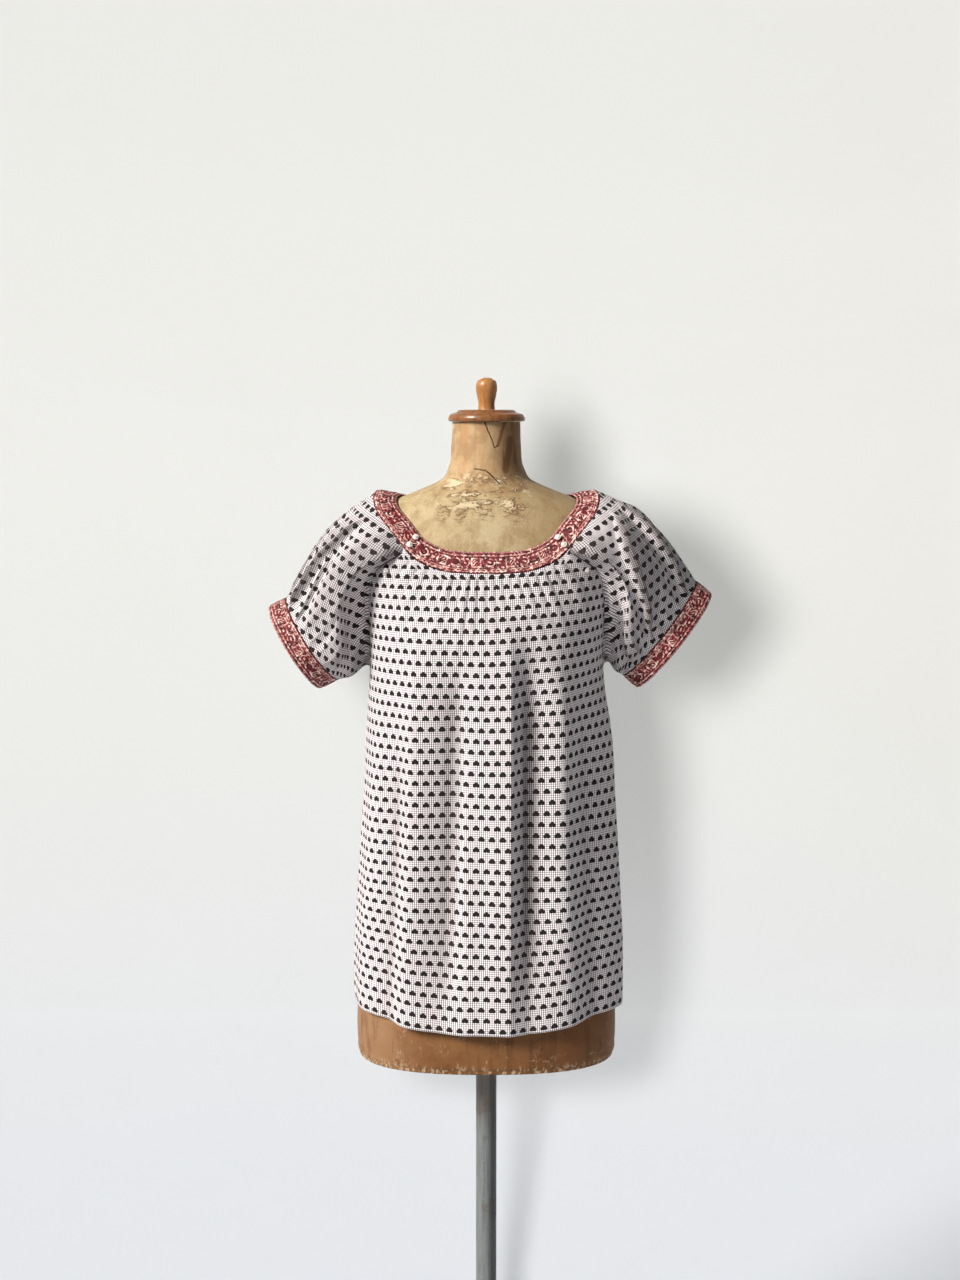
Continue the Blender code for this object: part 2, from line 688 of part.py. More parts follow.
def sleeve_surface(sleeve, along):
    """The sleeve's outer face: one row of points for each value of along, 0 at the body and 1 at the cuff."""
    round_share, inner, _ = sleeve_neck_loop()
    outer, outward = cuff_ring(sleeve, sleeve.seam_top, sleeve.seam_bottom, round_share)
    reach = np.linalg.norm(outer - inner, axis=1, keepdims=True)
    above = np.maximum(-np.cos(2 * math.pi * round_share), 0)[:, None] ** 1.3
    flare = np.radians(sleeve.flare + (sleeve.top_flare - sleeve.flare) * above)
    leaving = inner + 0.42 * reach * leaving_directions(sleeve, round_share)
    arriving = outer + 0.42 * reach * (outward * np.sin(flare) - cuff_axis(sleeve) * np.cos(flare))
    t = np.asarray(along, float)[:, None, None]
    rows = inner * (1 - t) ** 3 + 3 * leaving * t * (1 - t) ** 2
    rows = rows + 3 * arriving * t**2 * (1 - t) + outer * t**3
    for _ in range(SMOOTHING):
        beside = (np.roll(rows, 1, axis=1) + np.roll(rows, -1, axis=1)) / 2
        rows = rows + 2.4 * t * (1 - t) * (beside - rows)
    round_step = np.roll(rows, -1, axis=1) - np.roll(rows, 1, axis=1)
    out_step = np.gradient(rows, axis=0)
    normals = unit(np.cross(round_step, out_step))
    offset = sleeve_folds(sleeve, round_share[None, :], np.asarray(along)[:, None])
    return rows + normals * offset[..., None]


def closed_faces(rows):
    """Faces of rows that close on themselves."""
    return grid_faces([row + row[:1] for row in rows])


def sleeve_solid(sleeve):
    along = np.linspace(0, 1, SLEEVE_ROWS + 1)
    rows = sleeve_surface(sleeve, along)
    normals = seam_normals(sleeve)
    rows[0] += 1.4 * SEAM_GAP * unit(rows[1] - rows[0])
    rows[-1] += SEAM_GAP * unit(rows[-2] - rows[-1])
    steps = rows.shape[1]
    numbers = [list(range(k * steps, (k + 1) * steps)) for k in range(len(rows))]
    outward = cuff_ring(sleeve, sleeve.seam_top, sleeve.seam_bottom, sleeve_neck_loop()[0])[1]
    set_normals = list(enumerate(normals))
    set_normals += [(numbers[-1][i], outward[i]) for i in range(steps)]
    made = turn_over(sleeve, rows.reshape(-1, 3), closed_faces(numbers), set_normals)
    return thick_skin(sleeve.side + "_sleeve", "checked_cotton", *made[:2], CLOTH, made[2])


def turn_over(sleeve, points, faces, set_normals):
    """Carries a piece that was worked out on the +X side to its own side, facing out."""
    if sleeve.side == "right":
        return points, faces, set_normals
    flip = np.array([-1, 1, 1])
    return points * flip, [tuple(reversed(face)) for face in faces], [(v, n * flip) for v, n in set_normals]


def cuff_solid(sleeve, steps=36):
    """The ribbon cuff, a slightly crowned ring from the sleeve's gathered edge to the open mouth."""
    round_share = np.arange(steps) / steps
    seam, outward = cuff_ring(sleeve, sleeve.seam_top, sleeve.seam_bottom, round_share)
    mouth = cuff_ring(sleeve, sleeve.mouth_top, sleeve.mouth_bottom, round_share)[0]
    seam, mouth = seam + 0.0004 * outward, mouth + 0.0004 * outward
    seam = seam + SEAM_GAP * unit(mouth - seam)
    middle = (seam + mouth) / 2 + RIBBON_CROWN * outward
    points = np.concatenate([seam, middle, mouth])
    numbers = [list(range(k * steps, (k + 1) * steps)) for k in range(3)]
    set_normals = [(k * steps + i, outward[i]) for k in range(3) for i in range(steps)]
    made = turn_over(sleeve, points, closed_faces(numbers), set_normals)
    return thick_skin(sleeve.side + "_cuff", "red_ribbon", *made[:2], RIBBON, made[2])


# Buttons on the two raglan openings


def button(name, place, outward):
    """A small domed button with a flat back, just clear of the cloth."""
    dome = turned(name, "pearl", [(BUTTON_RADIUS * r, BUTTON_HEIGHT * h) for r, h in DOME], 10)
    axis = np.asarray(outward, float)
    side = unit(np.cross(axis, (0.0, 0.0, 1.0)))
    up = np.cross(axis, side)
    place = np.asarray(place, float) + axis * (SEAM_GAP + 0.0003)
    turn = np.column_stack([side, up, axis])
    for vertex in dome.data.vertices:
        vertex.co = tuple(turn @ np.array(vertex.co) + place)
    return dome


def add_buttons():
    """Two buttons close the neckband on each side, and one the opening below it."""
    for side, sign in (("right", 1), ("left", -1)):
        angle = sign * (FRONT_CORNER - BUTTON_INSET)
        for row in BAND_BUTTONS:
            place = at_angle(angle, *neck_edge(angle, row.across))
            button(f"{side}_{row.name}_button", place, neck_normal(angle))
        across, down = sign * SEAM_BUTTON_ACROSS, underarm_share(FRONT) * SEAM_BUTTON_DOWN
        spot = panel_point(FRONT, across, down)
        beside = panel_point(FRONT, across - sign * 0.02, down) - spot
        below = panel_point(FRONT, across, down * 1.1) - spot
        outward = unit(np.cross(beside, below)) * sign
        button(f"{side}_seam_button", spot, outward)


# The dress form and its stand


def form_solid(steps=32):
    """Limbless torso, smooth and closed, with a flat top to the neck and a flat underside."""
    heights = [s.height for s in FORM_SECTIONS]
    angles = np.arange(steps) * 360 / steps
    points, numbers = [], []
    for height in heights:
        numbers.append(list(range(len(points), len(points) + steps)))
        points.extend(at_angle(angles, ring_radius(FORM_SECTIONS, angles, height), height))
    faces = closed_faces(numbers[::-1])
    faces.append(tuple(reversed(numbers[0])))
    faces.append(tuple(numbers[-1]))
    solid = add_solid("dress_form", "aged_paper", points, faces)
    solid.data.shade_smooth()
    return solid


def add_neck_cap():
    """Turned wooden disc on the neck with a knob on it."""
    base = NECK_TOP + SEAM_GAP
    turned("neck_cap", "turned_wood", CAP, 28, base, cap_ends=True)
    turned("neck_knob", "turned_wood", KNOB, 16, base + CAP_HEIGHT + SEAM_GAP)


def add_stand():
    """Plain steel pole, held in the socket of a round foot."""
    bottom, top = FOOT_FLOOR + SEAM_GAP, FORM_BOTTOM - SEAM_GAP
    turned("pole", "steel_tube", [(POLE_RADIUS, bottom), (POLE_RADIUS, top)], 24, cap_ends=True)
    turned("round_foot", "cast_foot", FOOT, 32)


def main():
    for existing in list(bpy.data.objects):
        bpy.data.objects.remove(existing)
    panel_solid(FRONT)
    panel_solid(BACK)
    for sleeve in SLEEVES:
        sleeve_solid(sleeve)
        cuff_solid(sleeve)
    add_neckbands()
    add_buttons()
    form_solid()
    add_neck_cap()
    add_stand()


main()
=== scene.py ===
"""Looks of the puff sleeve top on its dress form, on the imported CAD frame.

Metres, +Z up, the front of the top faces -Y. Angles run round the pole: 0 is the front, 90 the +X side.
"""

import math
from collections import namedtuple

import bpy
import numpy as np
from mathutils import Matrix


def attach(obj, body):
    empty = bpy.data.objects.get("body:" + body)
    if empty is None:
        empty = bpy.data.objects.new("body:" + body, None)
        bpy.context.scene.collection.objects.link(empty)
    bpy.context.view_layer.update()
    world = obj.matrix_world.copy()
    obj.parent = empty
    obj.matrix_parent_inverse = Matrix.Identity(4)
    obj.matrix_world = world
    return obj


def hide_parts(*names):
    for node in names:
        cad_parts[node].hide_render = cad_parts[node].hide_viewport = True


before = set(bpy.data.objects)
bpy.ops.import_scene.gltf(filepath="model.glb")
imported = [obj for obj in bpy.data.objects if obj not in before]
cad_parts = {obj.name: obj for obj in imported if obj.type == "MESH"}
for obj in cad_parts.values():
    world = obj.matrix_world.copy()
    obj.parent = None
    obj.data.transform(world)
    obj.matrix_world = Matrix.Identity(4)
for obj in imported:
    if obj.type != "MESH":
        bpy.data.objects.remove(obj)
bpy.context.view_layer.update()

# Sizes shared with the solids
RIBBON = 0.0018
RIBBON_WIDTH = 0.030
RIBBON_CROWN = 0.0006
CLOTH = 0.0015
SEAM_GAP = 0.0003
REST_GAP = 0.0012
HEM_HEIGHT = 0.747
UNDERARM_HEIGHT = 1.202
FRONT_CORNER = 49.0
BACK_CORNER = 131.0
FORM_BOTTOM = 0.683
NECK_TOP = 1.5215
POLE_RADIUS = 0.0138
FOOT_RADIUS = 0.175
FOOT_EDGE = 0.008
FOOT_FLOOR = 0.005
HUB_RADIUS = 0.027
HUB_TOP = 0.052
CAP_HEIGHT = 0.0150
DENT = 0.0006
NECK_RADIUS = 0.11
FRONT_GATHERS = 20
BACK_GATHERS = 14
CUFF_GATHERS = 12
GATHER_HEIGHT = 0.0024
GATHER_FADE = 0.055
BUTTON_RADIUS = 0.0040
BUTTON_HEIGHT = 0.0046

# The woven pattern
REPEAT = 0.0138
CHECK = REPEAT / 5
# On the body its rows turn level above the hem, and drop a little towards the left in front
LEVEL_FROM = 0.80
LEVEL_OVER = 0.20
ROWS_DROP = 0.07
DROP_FROM = 0.90
DROP_OVER = 0.30
# On the sleeves its warp hangs this steeply, and is followed from one column of the grid
GRAIN = math.radians(58)
GRAIN_COLUMN = 0.30
SLEEVE_LENGTH = 0.235


def table(kind, rows):
    return [kind(*row) for row in rows]


Section = namedtuple("Section", "height half_width front back squareness")
FORM_SECTIONS = table(Section, [
    (0.683, 0.1530, 0.0930, 0.0930, 2.5), (0.6855, 0.1640, 0.1040, 0.1040, 2.5),
    (0.692, 0.1698, 0.1100, 0.1105, 2.5), (0.705, 0.1712, 0.1130, 0.1150, 2.5),
    (0.760, 0.1712, 0.1150, 0.1190, 2.4), (0.840, 0.1640, 0.1130, 0.1170, 2.3),
    (0.920, 0.1450, 0.1030, 0.1010, 2.2), (1.000, 0.1240, 0.0930, 0.0830, 2.2),
    (1.060, 0.1180, 0.0930, 0.0800, 2.2), (1.130, 0.1260, 0.1050, 0.0860, 2.2),
    (1.200, 0.1380, 0.1220, 0.0930, 2.2), (1.250, 0.1440, 0.1260, 0.0980, 2.2),
    (1.300, 0.1500, 0.1130, 0.1000, 2.3), (1.340, 0.1550, 0.0990, 0.0940, 2.4),
    (1.375, 0.1570, 0.0865, 0.0860, 2.4), (1.395, 0.1510, 0.0790, 0.0790, 2.3),
    (1.410, 0.1370, 0.0725, 0.0730, 2.2), (1.424, 0.1120, 0.0650, 0.0670, 2.1),
    (1.434, 0.0870, 0.0585, 0.0620, 2.1), (1.446, 0.0600, 0.0510, 0.0560, 2.0),
    (1.462, 0.0490, 0.0460, 0.0500, 2.0), (1.490, 0.0450, 0.0440, 0.0460, 2.0),
    (1.5215, 0.0437, 0.0437, 0.0437, 2.0),
])
CLOTH_SECTIONS = table(Section, [
    (0.740, 0.1755, 0.1350, 0.1330, 2.3), (0.850, 0.1745, 0.1335, 0.1280, 2.3),
    (0.920, 0.1700, 0.1330, 0.1230, 2.3), (0.985, 0.1655, 0.1335, 0.1180, 2.3),
    (1.050, 0.1605, 0.1350, 0.1150, 2.3), (1.130, 0.1570, 0.1370, 0.1130, 2.3),
    (1.200, 0.1520, 0.1370, 0.1130, 2.3), (1.250, 0.1535, 0.1340, 0.1130, 2.3),
    (1.300, 0.1580, 0.1210, 0.1120, 2.3), (1.335, 0.1620, 0.1070, 0.1060, 2.3),
    (1.360, 0.1630, 0.0980, 0.1000, 2.3), (1.400, 0.1560, 0.0850, 0.0880, 2.3),
])
Hem = namedtuple("Hem", "angle rise")
HEM = table(Hem, [
    (0, 0.0), (28, 0.001), (45, 0.007), (66, 0.016), (90, 0.022), (130, 0.016), (180, 0.010),
])
Neck = namedtuple("Neck", "angle height tilt")
NECKLINE = table(Neck, [
    (0, 1.3600, -62), (15, 1.3602, -61), (30, 1.3635, -56), (44, 1.3760, -46),
    (56, 1.3980, -26), (72, 1.4180, -4), (90, 1.4275, 12), (108, 1.4260, -2),
    (131, 1.4190, -36), (155, 1.4130, -60), (180, 1.4110, -66),
])
Seam = namedtuple("Seam", "height angle")
FRONT_SEAM = table(Seam, [
    (1.202, 90.0), (1.212, 81.0), (1.250, 75.0), (1.300, 69.0), (1.341, 60.0), (1.358, 49.0),
])
BACK_SEAM = table(Seam, [
    (1.202, 90.0), (1.212, 98.0), (1.250, 106.0), (1.300, 113.0), (1.350, 121.0), (1.398, 131.0),
])

# Long folds of the body. crest is 2 for a round fold and less for a sharper one.
# The front ones grow shallower above a straight hem
Fold = namedtuple("Fold", "hem_angle bust_angle height left_width right_width fades_at crest")
BODY_FOLDS = table(Fold, [
    (-66, -58, 0.0050, 8, 6, 1.20, 2.0), (-53, -47, -0.0060, 6, 6, 1.19, 2.0),
    (-42, -36, 0.0075, 6, 7, 1.29, 1.6), (-26, -16, -0.0145, 8, 9, 1.29, 1.9),
    (12, 12, 0.0115, 10, 4, 1.30, 1.3), (24, 22, -0.0120, 6, 7, 1.29, 1.9),
    (43, 37, 0.0070, 7, 10, 1.30, 1.6), (56, 51, -0.0060, 7, 7, 1.24, 1.8),
    (72, 76, 0.0110, 9, 9, 1.23, 2.0), (104, 108, 0.0060, 8, 7, 1.22, 2.0),
    (122, 126, -0.0060, 8, 7, 1.26, 2.0), (139, 140, 0.0080, 7, 8, 1.30, 1.6),
    (157, 156, -0.0065, 8, 9, 1.30, 2.0), (174, 172, 0.0075, 9, 7, 1.32, 1.5),
    (191, 190, -0.0070, 8, 7, 1.30, 2.0), (209, 208, 0.0080, 8, 8, 1.31, 1.7),
    (228, 224, -0.0070, 8, 8, 1.27, 2.0), (247, 244, 0.0060, 7, 9, 1.24, 2.0),
])
# Slight folds between them, which the solids leave out
SLIGHT_FOLDS = table(Fold, [
    (-80, -76, 0.0014, 2.6, 2.2, 1.16, 1.6), (-58, -53, 0.0012, 2.0, 2.4, 1.10, 1.5),
    (-31, -29, -0.0012, 2.4, 3.2, 1.16, 1.7), (-12, -12, 0.0013, 3.0, 2.6, 1.27, 1.6),
    (-4, -5, -0.0010, 2.4, 2.8, 1.22, 1.8), (4, 2, 0.0008, 1.8, 2.2, 1.12, 1.6),
    (27, 24, 0.0012, 2.0, 2.2, 1.20, 1.5), (34, 30, -0.0010, 2.2, 2.4, 1.25, 1.8),
    (48, 43, -0.0012, 1.8, 2.6, 1.17, 1.6), (63, 60, 0.0015, 2.4, 2.0, 1.14, 1.5),
    (82, 84, -0.0013, 2.6, 2.2, 1.12, 1.7), (96, 98, 0.0011, 2.2, 2.6, 1.15, 1.6),
    (114, 117, -0.0012, 2.2, 2.6, 1.20, 1.6), (131, 133, 0.0012, 2.4, 2.0, 1.22, 1.6),
    (148, 148, -0.0014, 2.6, 2.2, 1.26, 1.7), (165, 164, 0.0013, 2.0, 2.6, 1.24, 1.5),
    (183, 181, -0.0011, 2.4, 2.8, 1.28, 1.6), (199, 199, 0.0013, 2.6, 2.2, 1.20, 1.6),
    (218, 216, -0.0012, 2.2, 2.4, 1.23, 1.7), (238, 234, 0.0012, 2.4, 2.6, 1.18, 1.5),
    (258, 256, -0.0011, 2.4, 2.2, 1.14, 1.6),
])

# Sleeves, both as on the +X side. seam is the cuff's sewn edge and mouth its open one, each as (x, z)
SLEEVE_ENDS = "side seam_top seam_bottom mouth_top mouth_bottom"
Sleeve = namedtuple("Sleeve", SLEEVE_ENDS + " half_depth front_reach flare top_flare droop top_droop")
RIGHT_ENDS = ("right", (0.272, 1.316), (0.178, 1.193), (0.293, 1.299), (0.197, 1.176))
LEFT_ENDS = ("left", (0.260, 1.294), (0.193, 1.187), (0.283, 1.282), (0.217, 1.175))
SLEEVES = [
    Sleeve(*RIGHT_ENDS, 0.038, 0.006, 30, 24, 18, 22),
    Sleeve(*LEFT_ENDS, 0.058, 0.004, 34, 29, 46, 34),
]
LEAVES_FRONT = np.array([0.93, -0.34, 0.02])
SleeveFold = namedtuple("SleeveFold", "round height width from_neck to_cuff crest")
SLEEVE_FOLDS = {
    "right": table(SleeveFold, [
        (0.10, 0.0040, 0.030, 0.2, 0.9, 2.0), (0.165, -0.0090, 0.036, 0.3, 0.9, 2.0),
        (0.235, 0.0090, 0.022, 0.5, 0.9, 1.5), (0.32, -0.0085, 0.028, 0.6, 0.7, 1.8),
        (0.385, 0.0060, 0.024, 0.7, 0.8, 1.5), (0.44, -0.0055, 0.018, 0.5, 0.9, 1.6),
        (0.485, 0.0040, 0.020, 0.4, 0.9, 1.6), (0.56, -0.0060, 0.024, 0.6, 0.9, 1.8),
        (0.63, 0.0070, 0.028, 0.7, 0.8, 1.6), (0.71, -0.0070, 0.028, 0.6, 0.8, 2.0),
        (0.80, 0.0060, 0.030, 0.4, 0.8, 1.7), (0.89, -0.0040, 0.028, 0.2, 0.8, 2.0),
    ]),
    "left": table(SleeveFold, [
        (0.08, 0.0050, 0.032, 0.2, 0.9, 2.0), (0.155, -0.0045, 0.026, 0.2, 0.8, 2.0),
        (0.225, 0.0065, 0.028, 0.5, 0.8, 1.6), (0.29, -0.0060, 0.026, 0.6, 0.8, 2.0),
        (0.345, 0.0050, 0.022, 0.6, 0.9, 1.5), (0.395, -0.0080, 0.018, 0.8, 1.0, 1.6),
        (0.435, 0.0060, 0.016, 0.7, 1.0, 1.5), (0.475, -0.0060, 0.016, 0.6, 1.0, 1.6),
        (0.57, 0.0060, 0.028, 0.5, 0.9, 1.6), (0.65, -0.0070, 0.028, 0.6, 0.8, 2.0),
        (0.74, 0.0075, 0.028, 0.6, 0.8, 1.6), (0.83, -0.0060, 0.030, 0.3, 0.8, 2.0),
    ]),
}

# Sharp creases of the sleeves: a crest with a steep drop beside it, on a path of (along, round) pairs
Crease = namedtuple("Crease", "crest drop gentle steep trough ends path")
FRONT_CREASE = [(0.10, 0.130), (0.40, 0.105), (0.70, 0.110), (0.95, 0.120)]
BACK_CREASE = [(0.10, 0.640), (0.35, 0.665), (0.60, 0.672), (0.90, 0.655)]
HIGH_CREASE = [(0.15, 0.520), (0.40, 0.545), (0.70, 0.560), (0.92, 0.570)]
RIDGE_CREASE = [(0.10, 0.425), (0.40, 0.430), (0.70, 0.440), (0.95, 0.450)]
LEANING_CREASE = [(0.08, 0.366), (0.21, 0.313), (0.33, 0.283), (0.53, 0.263), (0.73, 0.247), (0.92, 0.207)]
TOP_CREASE = [(0.12, 0.412), (0.34, 0.403), (0.55, 0.392), (0.73, 0.391), (0.93, 0.370)]
LONG_CREASE = [(0.10, 0.338), (0.37, 0.342), (0.51, 0.360), (0.66, 0.370), (0.82, 0.377), (0.97, 0.387)]
SHARP_CREASE = [(0.38, 0.350), (0.58, 0.345), (0.71, 0.343), (0.83, 0.340), (0.96, 0.330)]
CREASES = {
    "right": [
        Crease(0.0050, 0.0095, 0.034, 0.009, 0.045, 0.95, LEANING_CREASE),
        Crease(0.0045, 0.0090, 0.030, 0.007, 0.026, 0.97, TOP_CREASE),
        Crease(0.0030, 0.0040, 0.030, 0.010, 0.026, 0.90, FRONT_CREASE),
        Crease(0.0035, 0.0060, 0.030, 0.010, 0.030, 0.92, BACK_CREASE),
        Crease(0.0030, 0.0050, 0.024, 0.009, 0.024, 0.95, HIGH_CREASE),
        Crease(0.0030, 0.0050, 0.030, 0.011, 0.030, 0.90, [(0.12, 0.800), (0.45, 0.775), (0.92, 0.790)]),
    ],
    "left": [
        Crease(0.0045, 0.0090, 0.028, 0.006, 0.020, 0.98, LONG_CREASE),
        Crease(0.0035, 0.0065, 0.018, 0.005, 0.013, 0.99, SHARP_CREASE),
        Crease(0.0026, 0.0044, 0.024, 0.008, 0.020, 0.95, RIDGE_CREASE),
        Crease(0.0035, 0.0060, 0.030, 0.010, 0.030, 0.92, [(0.10, 0.620), (0.40, 0.640), (0.92, 0.630)]),
        Crease(0.0030, 0.0050, 0.030, 0.011, 0.028, 0.90, [(0.12, 0.760), (0.45, 0.735), (0.92, 0.750)]),
        Crease(0.0028, 0.0045, 0.024, 0.009, 0.022, 0.95, [(0.15, 0.540), (0.50, 0.530), (0.92, 0.520)]),
    ],
}
# Small creases all over a sleeve, and its gathers by the neckband
FINE_CREASES = 26
YOKE_GATHERS = 34
YOKE_GATHER_HEIGHT = 0.0011

# The placket hangs open between two heights, by twice this width
SLIT = (1.332, 1.356)
SLIT_WIDTH = 0.0020
# The hem's edge is turned up inside the cloth
HEM_TURN = 0.011
HEM_INSET = 0.0008

# Fine crinkles of the ribbons, and how far their edges stand off
RIBBON_ROWS = 13
PUCKER = 0.00045
CUFF_EASE = 0.0004

# Hollows count as deep between least and most, measured against neighbours at reach, and set the shade
# painted into the cloth's folds, by share
Hollow = namedtuple("Hollow", "reach least most share")
HOLLOWS = [Hollow(0.008, 0.0004, 0.0036, 1.0), Hollow(0.030, 0.0010, 0.0090, 0.5)]

# How the sleeves run from neck to cuff, as the solids' do
GATHER_ROWS = 3
SEAM_ROWS = 5
SHOULDER_STEPS = 14
SMOOTHING = 3
HANDLE = 0.42

# Mesh fineness, around and down, and about how far the grids reach around
FRONT_GRID = (290, 300)
BACK_GRID = (210, 220)
SLEEVE_GRID = (480, 190)
PANEL_SPAN = 0.45
SLEEVE_SPAN = 0.55

# Buttons: shares across the band and the panel, and degrees from the band's end
BAND_BUTTONS = (("upper", 0.28), ("lower", 0.73))
BAND_BUTTON_INSET = 1.6
SEAM_BUTTON_ACROSS = 0.955
SEAM_BUTTON_DOWN = 0.155

# Light: the window's sun and a steady lamp near the camera, and the light each gives to floor and wall.
# A watt of the lamp gives this much light to a surface facing it, found by rendering
SUN_ENERGY = 6.0
SUN_SIDE = 54
SUN_HEIGHT = 33
LAMP_ENERGY = 72.0
LAMP_PLACE = (-0.16, -2.5, 1.57)
ROOM_LIGHT = 0.26
SWEEP = 2.2
FLOOR_REACH = 4.5
FLOOR_DEPTH = 0.001
WALL_HEIGHT = 5.0
WALL_SIDE = 128
SUNLIGHT = SUN_ENERGY / math.pi
FLOOR_LIGHT = SUNLIGHT * math.sin(math.radians(SUN_HEIGHT))
WALL_LIGHT = SUNLIGHT * math.cos(math.radians(SUN_HEIGHT)) * math.cos(math.radians(SUN_SIDE))
LAMP_YIELD = 0.0171
LAMP_LIGHT = LAMP_YIELD * LAMP_ENERGY
WARM_WHITE = (1.0, 0.985, 0.96)

# The camera, fitted to outlines in the photo
PHOTO_HEIGHT = 1280
FOCAL_LENGTH_IN_PIXELS = 1923
SENSOR = 36.0
CAMERA_PLACE = (-0.0084, -2.5, 1.53)
CAMERA_TILT = 6.67

rng = np.random.default_rng(7)


# Curves through tables


def eased(start, end, first, last, t):
    """A cubic from start to end while t goes from 0 to 1, with its first and last slope."""
    here = start * (1 + 2 * t) * (1 - t) ** 2 + first * t * (1 - t) ** 2
    return here + end * t**2 * (3 - 2 * t) + last * t**2 * (t - 1)


def read(rows, key, column, at):
    """A table's column, read at any value of its key column on one smooth curve."""
    keys = np.array([getattr(row, key) for row in rows], float)
    values = np.array([getattr(row, column) for row in rows], float)
    slopes = np.gradient(values, keys)
    at = np.clip(np.asarray(at, float), keys[0], keys[-1])
    k = np.clip(np.searchsorted(keys, at, side="right") - 1, 0, len(keys) - 2)
    span = keys[k + 1] - keys[k]
    return eased(values[k], values[k + 1], slopes[k] * span, slopes[k + 1] * span, (at - keys[k]) / span)


def bell(away, width, crest=2.0):
    """1 in the middle, falling off to both sides."""
    return np.exp(-(np.abs(away / width) ** crest))


def gap_round(share, centre):
    """How far one share of a loop lies from another, the shorter way."""
    return (share - centre + 0.5) % 1 - 0.5


def smooth_step(value):
    value = np.clip(value, 0, 1)
    return value * value * (3 - 2 * value)


def ring_radius(sections, angle, height):
    turn = np.radians(angle)
    columns = ("squareness", "half_width", "front", "back")
    squareness, half_width, front, back = (read(sections, "height", column, height) for column in columns)
    depth = np.where(np.cos(turn) > 0, front, back)
    wide = np.abs(np.sin(turn) / half_width) ** squareness
    deep = np.abs(np.cos(turn) / depth) ** squareness
    return (wide + deep) ** (-1 / squareness)


def form_radius(angle, height, distance=0.0):
    here = ring_radius(FORM_SECTIONS, angle, height)
    slope = (ring_radius(FORM_SECTIONS, angle, height + 0.004) - here) / 0.004
    return here + distance * np.sqrt(1 + slope**2)


def at_angle(angle, radius, height):
    turn = np.radians(angle)
    return np.stack(np.broadcast_arrays(radius * np.sin(turn), -radius * np.cos(turn), height), -1)


def unit(vectors):
    return vectors / np.linalg.norm(vectors, axis=-1, keepdims=True)


def turned_angle(angle):
    return np.abs((np.asarray(angle, float) + 180) % 360 - 180)


# Shapes of the worn cloth


def neck_edge(angle, across):
    """Radius and height of the neckband, from its inner edge (across 0) to its sewn edge (across 1)."""
    side = turned_angle(angle)
    tilt = np.radians(read(NECKLINE, "angle", "tilt", side))
    height = read(NECKLINE, "angle", "height", side)
    inner = form_radius(side, height, REST_GAP + RIBBON)
    crown = RIBBON_CROWN * 4 * across * (1 - across)
    radius = inner + RIBBON_WIDTH * across * np.cos(tilt) - crown * np.sin(tilt)
    return radius, height + RIBBON_WIDTH * across * np.sin(tilt) + crown * np.cos(tilt)


def neck_normal(angle):
    angle = np.asarray(angle, float)
    along = at_angle(angle + 1, *neck_edge(angle + 1, 0.5)) - at_angle(angle - 1, *neck_edge(angle - 1, 0.5))
    downward = at_angle(angle, *neck_edge(angle, 1.0)) - at_angle(angle, *neck_edge(angle, 0.0))
    return unit(np.cross(downward, along))


def body_folds(angle, height):
    """How far the folds stand out of the plain section."""
    offset = np.zeros(np.broadcast(angle, height).shape)
    share_down = np.clip((1.25 - height) / (1.25 - HEM_HEIGHT), 0, 1)
    for fold in BODY_FOLDS + SLIGHT_FOLDS:
        centre = fold.bust_angle + (fold.hem_angle - fold.bust_angle) * share_down
        away = (angle - centre + 180) % 360 - 180
        width = np.where(away < 0, fold.left_width, fold.right_width)
        grown = smooth_step((fold.fades_at - height) / 0.16)
        if abs(fold.hem_angle) < 50:
            grown = grown * (1 - 0.60 * smooth_step((0.92 - height) / 0.17))
        offset = offset + fold.height * grown * bell(away, width, fold.crest)
    return offset


Panel = namedtuple("Panel", "name middle corner seam gathers tucks fades grid")


def tucks(count):
    """Each gather's own height and length."""
    return rng.uniform(0.45, 1.5, count), rng.uniform(0.026, 0.115, count)


FRONT = Panel("front_panel", 0.0, FRONT_CORNER, FRONT_SEAM, FRONT_GATHERS, *tucks(FRONT_GATHERS), FRONT_GRID)
BACK = Panel("back_panel", 180.0, 180 - BACK_CORNER, BACK_SEAM, BACK_GATHERS, *tucks(BACK_GATHERS), BACK_GRID)


def seam_angle(panel, height):
    seam = read(panel.seam, "height", "angle", height)
    return np.where(height > UNDERARM_HEIGHT, np.abs(panel.middle - seam), 90.0)


def column_angle(panel, across, height):
    even = panel.corner + (90 - panel.corner) * smooth_step((1.40 - height) / 0.30)
    edge = np.sign(across) * np.abs(across) ** 7
    return panel.middle + across * even + edge * (seam_angle(panel, height) - even)


def gather_wave(panel, across, fallen):
    """Small tucks under the neckband with narrow valleys, each of its own height and length."""
    place = panel.gathers * (across + 1) / 2
    tuck = np.clip(np.floor(place).astype(int), 0, panel.gathers - 1)
    wave = np.abs(np.sin(math.pi * place)) ** 0.75
    height = panel.tucks[tuck] * bell(fallen, panel.fades[tuck], 1.5)
    return GATHER_HEIGHT * wave * height * np.minimum(6 * fallen / GATHER_FADE, 1)


